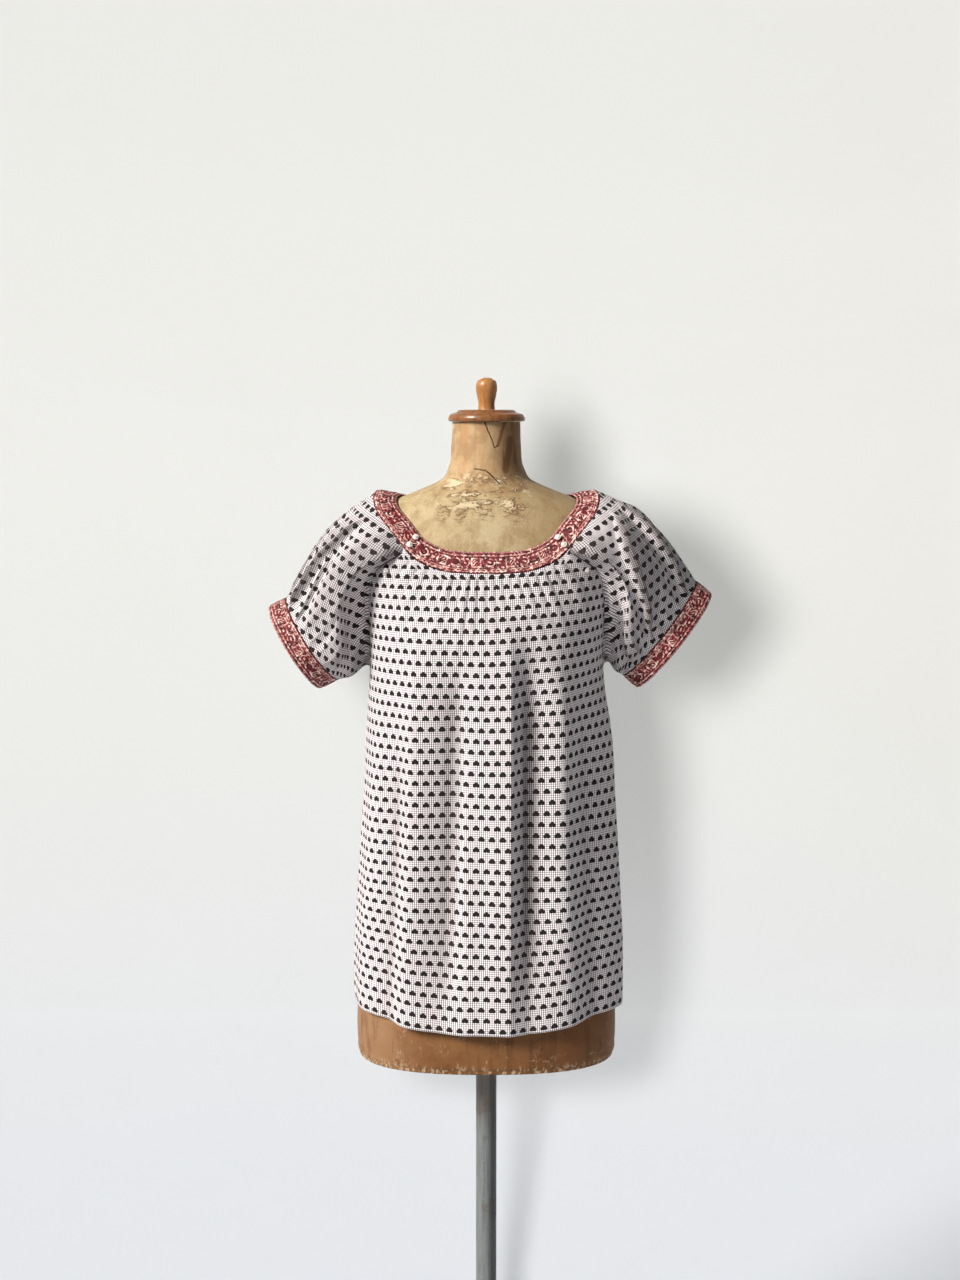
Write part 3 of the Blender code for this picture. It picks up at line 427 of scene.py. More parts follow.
def panel_point(panel, across, down):
    """A point of a panel's outer face: across is -1 to 1 between its side edges, down is 0 to 1."""
    top_angle = panel.middle + across * panel.corner
    top_radius, top_height = neck_edge(top_angle, 1.0)
    corner_height = neck_edge(panel.middle + panel.corner, 1.0)[1]
    edge_height = corner_height + (HEM_HEIGHT - corner_height) * down
    angle = column_angle(panel, across, edge_height)
    rise = read(HEM, "angle", "rise", turned_angle(column_angle(panel, across, HEM_HEIGHT)))
    skirt = smooth_step((down - underarm_share(panel)) / (1 - underarm_share(panel)))
    height = top_height + (HEM_HEIGHT - top_height) * down + rise * skirt
    plain = ring_radius(CLOTH_SECTIONS, angle, height)
    held = np.exp(-(top_height - height) / 0.05)
    radius = plain + held * (top_radius - ring_radius(CLOTH_SECTIONS, top_angle, top_height))
    radius = radius + gather_wave(panel, across, top_height - height)
    radius = radius + body_folds(angle, height)
    clear = form_radius(angle, height, REST_GAP + CLOTH)
    return at_angle(angle, np.maximum(radius, clear), height)


def underarm_share(panel):
    corner_height = neck_edge(panel.middle + panel.corner, 1.0)[1]
    return float((corner_height - UNDERARM_HEIGHT) / (corner_height - HEM_HEIGHT))


def seam_rows(panel, fine=1):
    """Shares down the panel from the neckband to the underarm, as the solids have them, or finer."""
    underarm = underarm_share(panel)
    rows = np.linspace(0, 0.30 * underarm, GATHER_ROWS + 1)
    rows = np.append(rows, np.linspace(0.30 * underarm, underarm, SEAM_ROWS + 1)[1:])
    return np.interp(np.linspace(0, len(rows) - 1, (len(rows) - 1) * fine + 1), np.arange(len(rows)), rows)


def sleeve_neck_loop(fine=2):
    """The edge sewn to the body: round shares and points, from the underarm over front, shoulder and back."""
    front = panel_point(FRONT, 1.0, seam_rows(FRONT, fine)[::-1])
    back = panel_point(BACK, -1.0, seam_rows(BACK, fine))
    angles = np.linspace(FRONT_CORNER, BACK_CORNER, SHOULDER_STEPS * fine + 1)
    shoulder = at_angle(angles, *neck_edge(angles, 1.0))[1:-1]
    shares = [np.linspace(0, 0.25, len(front)), np.linspace(0.25, 0.75, len(shoulder) + 2)[1:-1]]
    shares.append(np.linspace(0.75, 1, len(back)))
    return np.concatenate(shares), np.concatenate([front, shoulder, back])


def cuff_ring(sleeve, top, bottom, round_share):
    top, bottom = np.array([top[0], 0, top[1]]), np.array([bottom[0], 0, bottom[1]])
    centre, long_half = (top + bottom) / 2, (top - bottom) / 2
    turn = 2 * math.pi * round_share[:, None]
    short_half = np.array([0, -sleeve.half_depth, 0])
    short_half = short_half + sleeve.front_reach * cuff_axis(sleeve)
    points = centre - long_half * np.cos(turn) + short_half * np.sin(turn)
    outward = -unit(long_half) * np.cos(turn) / np.linalg.norm(long_half)
    outward = outward + unit(short_half) * np.sin(turn) / sleeve.half_depth
    return points, unit(outward)


def cuff_axis(sleeve):
    along = np.subtract(sleeve.seam_top, sleeve.seam_bottom)
    return unit(np.array([along[1], 0, -along[0]]))


def leaving_directions(sleeve, round_share):
    turn = 2 * math.pi * round_share[:, None]
    low, high = math.radians(sleeve.droop), math.radians(sleeve.top_droop)
    below, above = (math.cos(low), 0, -math.sin(low)), (math.cos(high), 0, -math.sin(high))
    ways = [below, LEAVES_FRONT, above, LEAVES_FRONT * (1, -1, 1)]
    weights = [np.maximum(f, 0) ** 1.3 for f in (np.cos(turn), np.sin(turn), -np.cos(turn), -np.sin(turn))]
    return unit(sum(w * np.array(way) for w, way in zip(weights, ways)))


def crease_offset(crease, round_share, along):
    """A crest along the path with a gentle side below it and a steep drop into a trough above it."""
    alongs, rounds = zip(*crease.path)
    away = gap_round(round_share, np.interp(along, alongs, rounds))
    gentle = crease.crest * bell(away, crease.gentle)
    steep = (crease.crest + crease.drop) * bell(away, crease.steep) - crease.drop * bell(away, crease.trough)
    grown = smooth_step((along - alongs[0] + 0.04) / 0.22)
    held = smooth_step((1.02 - along) / (1.12 - crease.ends))
    return np.where(away < 0, gentle, steep) * grown * held


def long_fold_offset(fold, round_share, along):
    """A fold that grows from the neck and is held at the cuff. Those at the shoulder are shallower."""
    grown = smooth_step((along - 0.06) / (0.22 + 0.5 * (1 - fold.from_neck)))
    held = smooth_step((1 - along) / (0.10 + 0.5 * (1 - fold.to_cuff)))
    share = 0.45 if 0.22 < fold.round < 0.5 else 0.8
    away = gap_round(round_share, fold.round)
    return share * fold.height * grown * held * bell(away, fold.width, fold.crest)


def armpit_offset(round_share, along):
    """A dip under the arm beside the seam, and the slack cloth that swells below it."""
    seam_side = smooth_step((round_share - 0.03) / 0.06) * smooth_step((0.30 - round_share) / 0.05)
    return seam_side * (0.0040 * bell(along - 0.38, 0.16) - 0.0035 * bell(along - 0.10, 0.07))


def fine_crease_offset(own, round_share, along):
    centre, start, length = own.uniform(0, 1), own.uniform(0.04, 0.55), own.uniform(0.25, 0.5)
    lean, width, height = own.uniform(-0.05, 0.05), own.uniform(0.006, 0.012), own.uniform(-0.0013, 0.0011)
    away = gap_round(round_share - lean * (along - start), centre)
    reach = np.sin(math.pi * np.clip((along - start) / length, 0, 1))
    return height * reach * bell(away, width, 1.5)


def gather_offset(own, count, sizes, round_share):
    """Small tucks round a loop, each of its own size."""
    place = count * round_share
    size = own.uniform(*sizes, count)[np.floor(place).astype(int) % count]
    return np.abs(np.sin(math.pi * place)) ** 0.8 * size


def sleeve_folds(sleeve, round_share, along):
    """Long folds, deepest half way, with finer creases between them and gathers at both ends."""
    own = np.random.default_rng(11 if sleeve.side == "right" else 12)
    offset = armpit_offset(round_share, along)
    for fold in SLEEVE_FOLDS[sleeve.side]:
        offset = offset + long_fold_offset(fold, round_share, along)
    for crease in CREASES[sleeve.side]:
        offset = offset + crease_offset(crease, round_share, along)
    for _ in range(FINE_CREASES):
        offset = offset + fine_crease_offset(own, round_share, along)
    near_cuff, near_body = (1 - along) / 0.22, along / 0.16
    wave = gather_offset(own, CUFF_GATHERS * 2, (0.4, 1.4), round_share)
    offset = offset + GATHER_HEIGHT * wave * np.minimum(4 * near_cuff, 1) * np.exp(-(near_cuff**2))
    wave = gather_offset(own, YOKE_GATHERS, (0.3, 1.2), round_share)
    return offset + YOKE_GATHER_HEIGHT * wave * np.minimum(4 * near_body, 1) * np.exp(-(near_body**1.5))


def rounded(values, shares, at):
    """Values at uneven shares of a closed loop, on a smooth closed curve. Rows may be stacked in front."""
    closed = np.concatenate([shares[-3:-1] - 1, shares, shares[1:3] + 1])
    values = np.concatenate([values[..., -3:-1, :], values, values[..., 1:3, :]], axis=-2)
    k = np.clip(np.searchsorted(closed, at, side="right") - 1, 1, len(closed) - 3)
    span = (closed[k + 1] - closed[k])[:, None]
    t = (at - closed[k])[:, None] / span
    first = (values[..., k + 1, :] - values[..., k - 1, :]) / (closed[k + 1] - closed[k - 1])[:, None]
    last = (values[..., k + 2, :] - values[..., k, :]) / (closed[k + 2] - closed[k])[:, None]
    return eased(values[..., k, :], values[..., k + 1, :], first * span, last * span, t)


def sleeve_surface(sleeve, steps, rows_count):
    """The sleeve's outer face on a fine grid, on the same form as its solid."""
    along = np.linspace(0, 1, rows_count)
    shares, inner = sleeve_neck_loop()
    outer, outward = cuff_ring(sleeve, sleeve.seam_top, sleeve.seam_bottom, shares)
    reach = np.linalg.norm(outer - inner, axis=1, keepdims=True)
    above = np.maximum(-np.cos(2 * math.pi * shares), 0)[:, None] ** 1.3
    flare = np.radians(sleeve.flare + (sleeve.top_flare - sleeve.flare) * above)
    leaving = inner + HANDLE * reach * leaving_directions(sleeve, shares)
    arriving = outer + HANDLE * reach * (outward * np.sin(flare) - cuff_axis(sleeve) * np.cos(flare))
    t = along[:, None, None]
    rows = inner * (1 - t) ** 3 + 3 * leaving * t * (1 - t) ** 2
    rows = rows + 3 * arriving * t**2 * (1 - t) + outer * t**3
    for _ in range(SMOOTHING):
        before = np.concatenate([rows[:, -2:-1], rows[:, :-1]], axis=1)
        after = np.concatenate([rows[:, 1:], rows[:, 1:2]], axis=1)
        rows = rows + 2.4 * t * (1 - t) * ((before + after) / 2 - rows)
    at = np.linspace(0, 1, steps + 1)
    fine = rounded(rows, shares, at)
    fine_shares, fine_inner = sleeve_neck_loop(24)
    exact = np.stack([np.interp(at, fine_shares, fine_inner[:, k]) for k in range(3)], -1)
    fine = fine + (exact - fine[0]) * (1 - t) ** 2
    round_step = np.roll(fine[:, :-1], -1, axis=1) - np.roll(fine[:, :-1], 1, axis=1)
    round_step = np.concatenate([round_step, round_step[:, :1]], axis=1)
    normals = unit(np.cross(round_step, np.gradient(fine, axis=0)))
    offset = sleeve_folds(sleeve, at[None, :], along[:, None])
    return fine, normals, offset, at


# Meshes


def placed(name, data):
    """A new object in the scene."""
    made = bpy.data.objects.new(name, data)
    bpy.context.scene.collection.objects.link(made)
    return made


def mesh_object(name, points, faces, finish, cut=None):
    mesh = bpy.data.meshes.new(name)
    mesh.from_pydata(np.reshape(points, (-1, 3)).tolist(), [], faces)
    mesh.shade_smooth()
    mesh.materials.append(finish)
    if cut is None:
        mesh.set_sharp_from_angle(angle=math.radians(50))
    else:
        corners = np.empty(len(mesh.loops), np.int32)
        mesh.loops.foreach_get("vertex_index", corners)
        layer = mesh.uv_layers.new(name="cut")
        layer.data.foreach_set("uv", np.reshape(cut, (-1, 2))[corners].ravel())
    return placed(name, mesh)


def hand_over(made, node):
    """Tie a piece to the body, in place of its solid."""
    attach(made, "root")
    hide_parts(node)


def mark_fold_shade(made, grid, outward, spacing):
    """Note how far each point lies below its neighbours to either side, for the shade painted into folds."""
    values = np.zeros(grid.shape[:2])
    for fold_shade in HOLLOWS:
        steps = max(int(round(fold_shade.reach / spacing)), 2)
        padded = np.pad(grid, ((0, 0), (steps, steps), (0, 0)), mode="edge")
        middle = (padded[:, : -2 * steps] + padded[:, 2 * steps :]) / 2
        sunk = np.sum((middle - grid) * outward, axis=-1)
        depth = np.clip((sunk - fold_shade.least) / (fold_shade.most - fold_shade.least), 0, 1)
        values = np.maximum(values, fold_shade.share * depth)
    layer = made.data.attributes.new("fold_shade", "FLOAT", "POINT")
    layer.data.foreach_set("value", values.astype(np.float32).ravel())


def quads(index):
    """Faces between the neighbours of a grid of vertex numbers."""
    return np.stack([index[:-1, :-1], index[1:, :-1], index[1:, 1:], index[:-1, 1:]], -1).reshape(-1, 4)


def grid_faces(grid, flip=False):
    faces = quads(np.arange(grid.shape[0] * grid.shape[1]).reshape(grid.shape[:2]))
    return faces[:, ::-1] if flip else faces


def rings_faces(rings, steps):
    """Faces between rings of the given number of points, from the bottom to the top."""
    index = np.arange(rings * steps).reshape(rings, steps)
    return quads(np.concatenate([index, index[:, :1]], axis=1)[::-1]).tolist()


def strip(name, outer, normals, cut, closed, flip=False):
    """A ribbon with a front, a back and edges, from a grid of outer points."""
    inner = outer - RIBBON * 0.8 * normals
    faces = grid_faces(outer, flip)
    index = np.arange(outer.shape[0] * outer.shape[1]).reshape(outer.shape[:2])
    walls = [faces, faces[:, ::-1] + index.size]
    rims = [index[0, ::-1], index[-1]]
    if not closed:
        rims += [index[:, 0], index[::-1, -1]]
    for rim in rims:
        wall = np.stack([rim[:-1], rim[1:], rim[1:] + index.size, rim[:-1] + index.size], -1)
        walls.append(wall if flip else wall[:, ::-1])
    return mesh_object(name, [outer, inner], np.concatenate(walls).tolist(), ribbon, [cut, cut])


def turned(name, profile, steps, finish):
    """A turned piece from (radius, height) pairs, bottom to top, closed at the axis."""
    profile = np.array(profile, float)
    angles = np.linspace(0, 360, steps, endpoint=False)
    rings = [at_angle(angles, r, h) for r, h in profile]
    points = np.concatenate(rings + [[(0, 0, profile[0][1])], [(0, 0, profile[-1][1])]])
    low, high, last = len(points) - 2, len(points) - 1, (len(profile) - 1) * steps
    faces = rings_faces(len(profile), steps)
    faces += [((i + 1) % steps, i, low) for i in range(steps)]
    faces += [(last + i, last + (i + 1) % steps, high) for i in range(steps)]
    return mesh_object(name, points, faces, finish)


def curved(points, steps=6):
    """A profile through the given points with its corners eased."""
    points = np.array(points, float)
    before = np.concatenate([points[:1], points[:-1]])
    after = np.concatenate([points[1:], points[-1:]])
    slopes = (after - before) / 2
    t = np.linspace(0, 1, steps, endpoint=False)[:, None]
    pairs = range(len(points) - 1)
    pieces = [eased(points[k], points[k + 1], slopes[k], slopes[k + 1], t) for k in pairs]
    return np.concatenate(pieces + [points[-1:]])


# Materials written as sums and products


def operation(name):
    """A method that puts a signal, and others if there are any, through one of Blender's sums."""

    def apply(self, *others):
        node = self.tree.nodes.new("ShaderNodeMath")
        node.operation = name
        for slot, value in zip(node.inputs, (self, *others)):
            put(self.tree, slot, value)
        return Signal(self.tree, node.outputs[0])

    return apply


class Signal:
    """A number that a shader works out for each point."""

    __add__ = __radd__ = operation("ADD")
    __mul__ = __rmul__ = operation("MULTIPLY")
    __sub__ = operation("SUBTRACT")
    __truediv__ = operation("DIVIDE")
    fract = operation("FRACT")
    floor = operation("FLOOR")
    abs = operation("ABSOLUTE")
    sqrt = operation("SQRT")
    most = operation("MAXIMUM")
    least = operation("MINIMUM")

    def __init__(self, tree, socket):
        self.tree, self.socket = tree, socket

    def __rsub__(self, other):
        return (self * -1.0) + other

    def step(self, low, high):
        """0 below low, 1 above high, and smooth between. high below low turns it round."""
        node = self.tree.nodes.new("ShaderNodeMapRange")
        node.interpolation_type = "SMOOTHSTEP"
        put(self.tree, node.inputs["Value"], self)
        limits = (min(low, high), max(low, high), float(high < low), float(high >= low))
        for slot, limit in zip(("From Min", "From Max", "To Min", "To Max"), limits):
            node.inputs[slot].default_value = limit
        return Signal(self.tree, node.outputs["Result"])


def put(tree, slot, value):
    """Give a socket a number, or what a signal or another socket sends."""
    value = getattr(value, "socket", value)
    if isinstance(value, bpy.types.NodeSocket):
        tree.links.new(value, slot)
    else:
        slot.default_value = value


class Paint:
    """A Principled material under construction."""

    def __init__(self, name, roughness, metallic=0.0, **sockets):
        self.made = bpy.data.materials.new(name)
        self.made.use_nodes = True
        self.tree = self.made.node_tree
        self.shader = self.tree.nodes["Principled BSDF"]
        for socket, value in {"Roughness": roughness, "Metallic": metallic, **sockets}.items():
            self.shader.inputs[socket.replace("_", " ")].default_value = value

    def node(self, kind, **inputs):
        made = self.tree.nodes.new("ShaderNode" + kind)
        for slot, value in inputs.items():
            put(self.tree, made.inputs[slot], value)
        return made

    def cut(self):
        """The two coordinates of the flat cut, in metres."""
        node = self.node("UVMap")
        node.uv_map = "cut"
        return self.parts(node.outputs[0])

    def fold_shade(self):
        """How deep in a fold a point lies, from 0 to 1, which sets the shade painted into the folds."""
        node = self.node("Attribute")
        node.attribute_name = "fold_shade"
        return Signal(self.tree, node.outputs["Fac"])

    def place(self):
        """The three coordinates of the piece, in metres."""
        self.place_socket = self.node("TexCoord").outputs["Object"]
        return self.parts(self.place_socket)

    def parts(self, socket):
        return [Signal(self.tree, output) for output in self.node("SeparateXYZ", Vector=socket).outputs]

    def vector(self, x, y, z):
        return self.node("CombineXYZ", X=x, Y=y, Z=z).outputs[0]

    def noise(self, vector, scale, detail=2.0, roughness=0.5):
        node = self.node("TexNoise", Vector=vector, Scale=scale, Detail=detail, Roughness=roughness)
        return Signal(self.tree, node.outputs[0])

    def cell_edges(self, vector, scale):
        node = self.node("TexVoronoi", Vector=vector, Scale=scale)
        node.feature = "DISTANCE_TO_EDGE"
        return Signal(self.tree, node.outputs["Distance"])

    def colour(self, base, *layers):
        """Layers of (share, colour) over a base colour."""
        below = (*base, 1.0)
        for share, colour in layers:
            node = self.node("Mix")
            node.data_type = "RGBA"
            for slot, value in (("Factor", share), ("A", below), ("B", (*colour, 1.0))):
                put(self.tree, node.inputs[slot], value)
            below = node.outputs["Result"]
        put(self.tree, self.shader.inputs["Base Color"], below)

    def rough(self, value):
        put(self.tree, self.shader.inputs["Roughness"], value)

    def bump(self, height, distance, strength=1.0):
        node = self.node("Bump", Strength=strength, Distance=distance, Height=height)
        put(self.tree, self.shader.inputs["Normal"], node.outputs[0])
        return self.made


def heart(x, y):
    """Below 1 inside a small heart with its point towards +y. x and y in millimetres from its middle."""
    side = x.abs() / 4.45
    high = y / 3.25 - 0.16
    low = high + side.sqrt() * 0.62
    return side * side + low * low


def cotton_paint():
    """Fine dark checks with rows of small woven hearts on an off-white ground, with shade painted into the
    folds.
    """
    sheen = {"Sheen_Weight": 0.03, "Sheen_Roughness": 0.5}
    paint = Paint("checked_cotton_weave", 0.9, Specular_IOR_Level=0.15, **sheen)
    u, v, _ = paint.cut()
    flat = paint.vector(u, v, 0.0)
    wobble = paint.noise(flat, 420.0, 2.0) - 0.5
    row = (v / REPEAT).floor()
    shift = (row * 0.5).fract()
    x = ((u / REPEAT + shift).fract() - 0.5) * (REPEAT * 1000)
    y = ((v / REPEAT).fract() - 0.5) * (REPEAT * 1000)
    motif = (heart(x, y) + wobble * 0.5).step(1.22, 0.88)
    thread = paint.noise(flat, 900.0, 2.0)
    fold_shade = paint.fold_shade()
    worn = paint.noise(flat, 60.0, 3.0)
    upright = ((u / CHECK).fract() - 0.5).abs().step(0.235, 0.125) * (0.62 + 0.5 * thread)
    level = ((v / CHECK).fract() - 0.5).abs().step(0.20, 0.09) * (0.46 + 0.5 * thread)
    tint = paint.noise(flat, 9.0, 3.0)
    paint.colour(
        (0.89, 0.82, 0.815),
        (tint.step(0.35, 0.7) * 0.5, (0.85, 0.75, 0.755)),
        (worn.step(0.45, 0.75) * 0.25, (0.90, 0.86, 0.85)),
        (level, (0.040, 0.025, 0.023)),
        (upright, (0.036, 0.022, 0.020)),
        (motif * 0.985, (0.008, 0.0045, 0.0045)),
        # painted shade: the deeper a point lies in a fold, the darker it is painted
        (fold_shade * 0.70, (0.050, 0.036, 0.032)),
    )
    warp = ((u / 0.0006).fract() - 0.5).abs()
    weft = ((v / 0.0006).fract() - 0.5).abs()
    return paint.bump(warp * 0.35 + weft * 0.35 + thread * 0.6 + motif * 1.1, 0.00022, 0.7)


def ribbon_paint():
    """Woven ribbon: rows of pale dashes on deep red, with framed squares and curled leaves between them."""
    paint = Paint("ribbon_weave", 0.60, Specular_IOR_Level=0.25)
    s, t, _ = paint.cut()
    flat = paint.vector(s, t, 0.0)
    crinkle = paint.noise(flat, 160.0, 2.0, 0.6)
    drift = (paint.noise(flat, 120.0, 2.0) - 0.5) * 3.0
    along = s * 1000 + drift
    across = t * 1000 - 15 + drift * 0.7
    place = (along / 43.0).fract() * 43.0
    bent = paint.vector((along + drift) * 0.001, across * 0.001, 0.0)
    square = ((place - 8.0).abs() - 5.6).most(across.abs() - 5.6)
    outline = square.abs().step(1.15, 0.75)
    hatch = ((place + across) / 4.2).fract().step(0.58, 0.68) * square.step(-1.3, -1.9)
    off = place - 25.0
    ring = (off * off + across * across * 1.3).sqrt()
    curl = (ring - 5.8).abs().step(1.25, 0.8) * (off + across * 0.6).step(-4.0, -2.5)
    petal = (off * off * 0.40 + across * across * 1.1).step(4.0, 2.8) * (off * across).step(-1.0, 0.8)
    between = square.step(0.9, 1.7) * ring.step(6.8, 7.6)
    winding = (paint.noise(bent, 105.0, 1.0, 0.5) - 0.5).abs().step(0.022, 0.011)
    rows = (across + 60.0) / 5.3
    dash = ((along / 6.0 + rows.floor() * 0.37).fract() - 0.5).abs().step(0.31, 0.24)
    dash = dash * (rows.fract() - 0.5).abs().step(0.25, 0.18) * crinkle.step(0.42, 0.48)
    rule = (across.abs() - 9.2).abs().step(0.75, 0.40)
    scallop = ((along / 5.2).fract() - 0.5).abs() * 3.4
    lower = (across - 11.4 - scallop).abs().step(1.0, 0.6)
    piping = (across + 13.9).abs().step(1.0, 0.6)
    speck = paint.noise(flat, 900.0, 2.0)
    pale = outline.most(hatch).most(curl).most(petal).most(rule * 0.8).most(winding * between * 0.9)
    pale = pale.most(dash * between).most(lower * 0.8) * (crinkle + 0.25 * speck).step(0.46, 0.60)
    shade = paint.noise(bent, 90.0, 2.0, 0.6)
    faded = paint.noise(flat, 16.0, 2.0)
    paint.colour(
        (0.120, 0.007, 0.011),
        (faded.step(0.42, 0.68) * 0.6, (0.20, 0.020, 0.024)),
        (crinkle.step(0.54, 0.66) * 0.35, (0.30, 0.055, 0.052)),
        (shade.step(0.50, 0.43) * 0.9, (0.035, 0.002, 0.004)),
        (pale * 0.88, (0.70, 0.33, 0.28)),
        (pale * crinkle.step(0.52, 0.60) * 0.85, (0.96, 0.74, 0.63)),
        (piping * 0.45, (0.62, 0.32, 0.27)),
    )
    rib = ((s / 0.0007).fract() - 0.5).abs()
    return paint.bump(crinkle * 2.2 + rib * 0.3 + pale * 0.9 + shade * 0.8, 0.0008, 0.9)


def stroke(x, z, start, end, half_wide):
    """1 on a line between two places and 0 beside it."""
    along_x, along_z = end[0] - start[0], end[1] - start[1]
    length = along_x**2 + along_z**2
    share = (((x - start[0]) * along_x + (z - start[1]) * along_z) / length).most(0.0).least(1.0)
    off_x, off_z = x - start[0] - share * along_x, z - start[1] - share * along_z
    return (off_x * off_x + off_z * off_z).sqrt().step(half_wide * 1.4, half_wide * 0.6)


def form_paint():
    """Old varnished paper: mottled chest, torn collar, stained neck and a scuffed brown band below, with
    shade painted on the +X side of the neck and upper chest.
    """
    paint = Paint("aged_paper", 0.55, Specular_IOR_Level=0.18)
    x, y, z = paint.place()
    place = paint.place_socket
    cloud = paint.noise(place, 9.0, 5.0, 0.62)
    mottle = paint.noise(place, 42.0, 5.0, 0.65)
    fine = paint.noise(place, 260.0, 4.0, 0.7)
    grit = paint.noise(place, 620.0, 3.0, 0.7)
    streak = paint.noise(paint.vector(x * 16, y * 16, z * 2.0), 5.0, 4.0, 0.6)
    torn = paint.noise(paint.vector(x, y, z * 2.8), 42.0, 4.0, 0.62)
    front = y.step(-0.015, -0.035)
    neck = z.step(1.425, 1.470)
    wide = (x + 0.004 + (mottle - 0.5) * 0.03).abs().step(0.066, 0.044)
    collar = z.step(1.390, 1.405) * z.step(1.462, 1.444) * front * wide
    flakes = collar * (torn - 0.5).abs().step(0.030, 0.009) * mottle.step(0.40, 0.52)
    lifted = collar * torn.step(0.50, 0.58) * z.step(1.402, 1.420)
    shaken = x + (mottle - 0.5) * 0.006, z + (fine - 0.5) * 0.004
    cracks = stroke(*shaken, (-0.002, 1.522), (0.0100, 1.489), 0.0007)
    cracks = cracks.most(stroke(*shaken, (0.0100, 1.489), (0.0140, 1.491), 0.0008))
    cracks = cracks.most(stroke(*shaken, (-0.0147, 1.462), (-0.001, 1.460), 0.0007))
    cracks = cracks.most(stroke(*shaken, (-0.001, 1.460), (0.0160, 1.444), 0.0008)) * y.step(0.0, -0.01)
    drip = stroke(*shaken, (0.0235, 1.523), (0.0140, 1.492), 0.0020)
    drip = drip.most(stroke(*shaken, (0.030, 1.50), (0.024, 1.46), 0.004)) * y.step(0.0, -0.01)
    # painted shade: these mark the +X side of the neck and of the upper chest, away from the window
    right = (x + (cloud - 0.5) * 0.03).step(-0.004, 0.030)
    right_chest_shade = z.step(1.34, 1.37) * (x + (cloud - 0.5) * 0.05).step(-0.005, 0.075)
    low = z.step(0.90, 0.84)
    scuff = paint.noise(paint.vector(x * 3, y * 3, z), 70.0, 5.0, 0.7)
    rim = z.step(0.703, 0.688) * scuff.step(0.50, 0.60)
    scratch = paint.cell_edges(paint.vector(x + (scuff - 0.5) * 0.08, y, z * 0.6), 16.0).step(0.010, 0.003)
    under = z.step(0.6865, 0.6835)
    paint.colour(
        (0.426, 0.318, 0.17),
        (cloud.step(0.42, 0.62) * 0.6, (0.479, 0.378, 0.226)),
        (mottle.step(0.44, 0.64) * 0.75, (0.313, 0.217, 0.104)),
        (streak.step(0.48, 0.66) * 0.5, (0.287, 0.183, 0.0827)),
        (fine.step(0.54, 0.72) * 0.5, (0.574, 0.47, 0.313)),
        (grit.step(0.58, 0.68) * 0.6, (0.191, 0.113, 0.0522)),
        (neck * 0.6, (0.435, 0.27, 0.135)),
        (neck * streak.step(0.42, 0.62) * 0.65, (0.383, 0.204, 0.087)),
        (neck * mottle.step(0.48, 0.60) * 0.4, (0.27, 0.150, 0.070)),
        # painted shade on the neck's +X side, darkened further along the stain streaks
        (neck * right * 0.75, (0.174, 0.0827, 0.0313)),
        (neck * right * streak.step(0.52, 0.62) * 0.8, (0.104, 0.0435, 0.0157)),
        # painted shade on the upper chest's +X side
        (right_chest_shade * 0.50, (0.235, 0.144, 0.0626)),
        (collar * mottle.step(0.45, 0.60) * 0.45, (0.30, 0.175, 0.080)),
        (lifted * 0.8, (0.609, 0.487, 0.313)),
        (flakes * 0.75, (0.191, 0.104, 0.0478)),
        (drip * 0.75, (0.122, 0.0478, 0.0174)),
        (cracks * 0.9, (0.0522, 0.0244, 0.0104)),
        (low, (0.161, 0.0626, 0.0191)),
        (low * x.step(-0.07, -0.15) * cloud.step(0.30, 0.55) * 0.55, (0.383, 0.252, 0.148)),
        (low * cloud.step(0.40, 0.58) * 0.6, (0.217, 0.1, 0.0365)),
        (low * mottle.step(0.52, 0.72) * 0.6, (0.113, 0.0435, 0.0157)),
        (low * streak.step(0.50, 0.64) * 0.45, (0.085, 0.030, 0.010)),
        (low * scuff.step(0.63, 0.70) * 0.7, (0.435, 0.278, 0.148)),
        (low * scratch * mottle.step(0.5, 0.6) * 0.7, (0.539, 0.365, 0.209)),
        (rim * 0.85, (0.574, 0.409, 0.244)),
        (under * 0.8, (0.139, 0.0696, 0.0305)),
    )
    paint.rough(0.42 + 0.3 * mottle)
    raised = fine * 0.5 + mottle * 0.7 + lifted * 1.6 - flakes * 1.4 - cracks * 1.5 - rim * 0.8
    return paint.bump(raised, 0.0012, 0.7)


def wood_paint(name, light, dark):
    """Turned and varnished wood with its grain along Z."""
    paint = Paint(name, 0.30, Specular_IOR_Level=0.3, Coat_Weight=0.22, Coat_Roughness=0.15)
    x, y, z = paint.place()
    grain = paint.noise(paint.vector(x * 60, y * 60, z * 9), 3.0, 5.0, 0.6)
    fibre = paint.noise(paint.vector(x * 900, y * 900, z * 60), 1.0, 3.0, 0.6)
    worn = paint.noise(paint.place_socket, 60.0, 4.0, 0.6)
    paint.colour(
        light,
        (grain.step(0.38, 0.64), dark),
        (fibre.step(0.55, 0.72) * 0.4, tuple(c * 0.45 for c in dark)),
        (worn.step(0.60, 0.75) * 0.4, tuple(min(1, c * 1.5) for c in light)),
    )
    paint.rough(0.26 + 0.22 * worn)
    return paint.bump(grain * 0.6 + fibre * 0.4, 0.0003, 0.5)


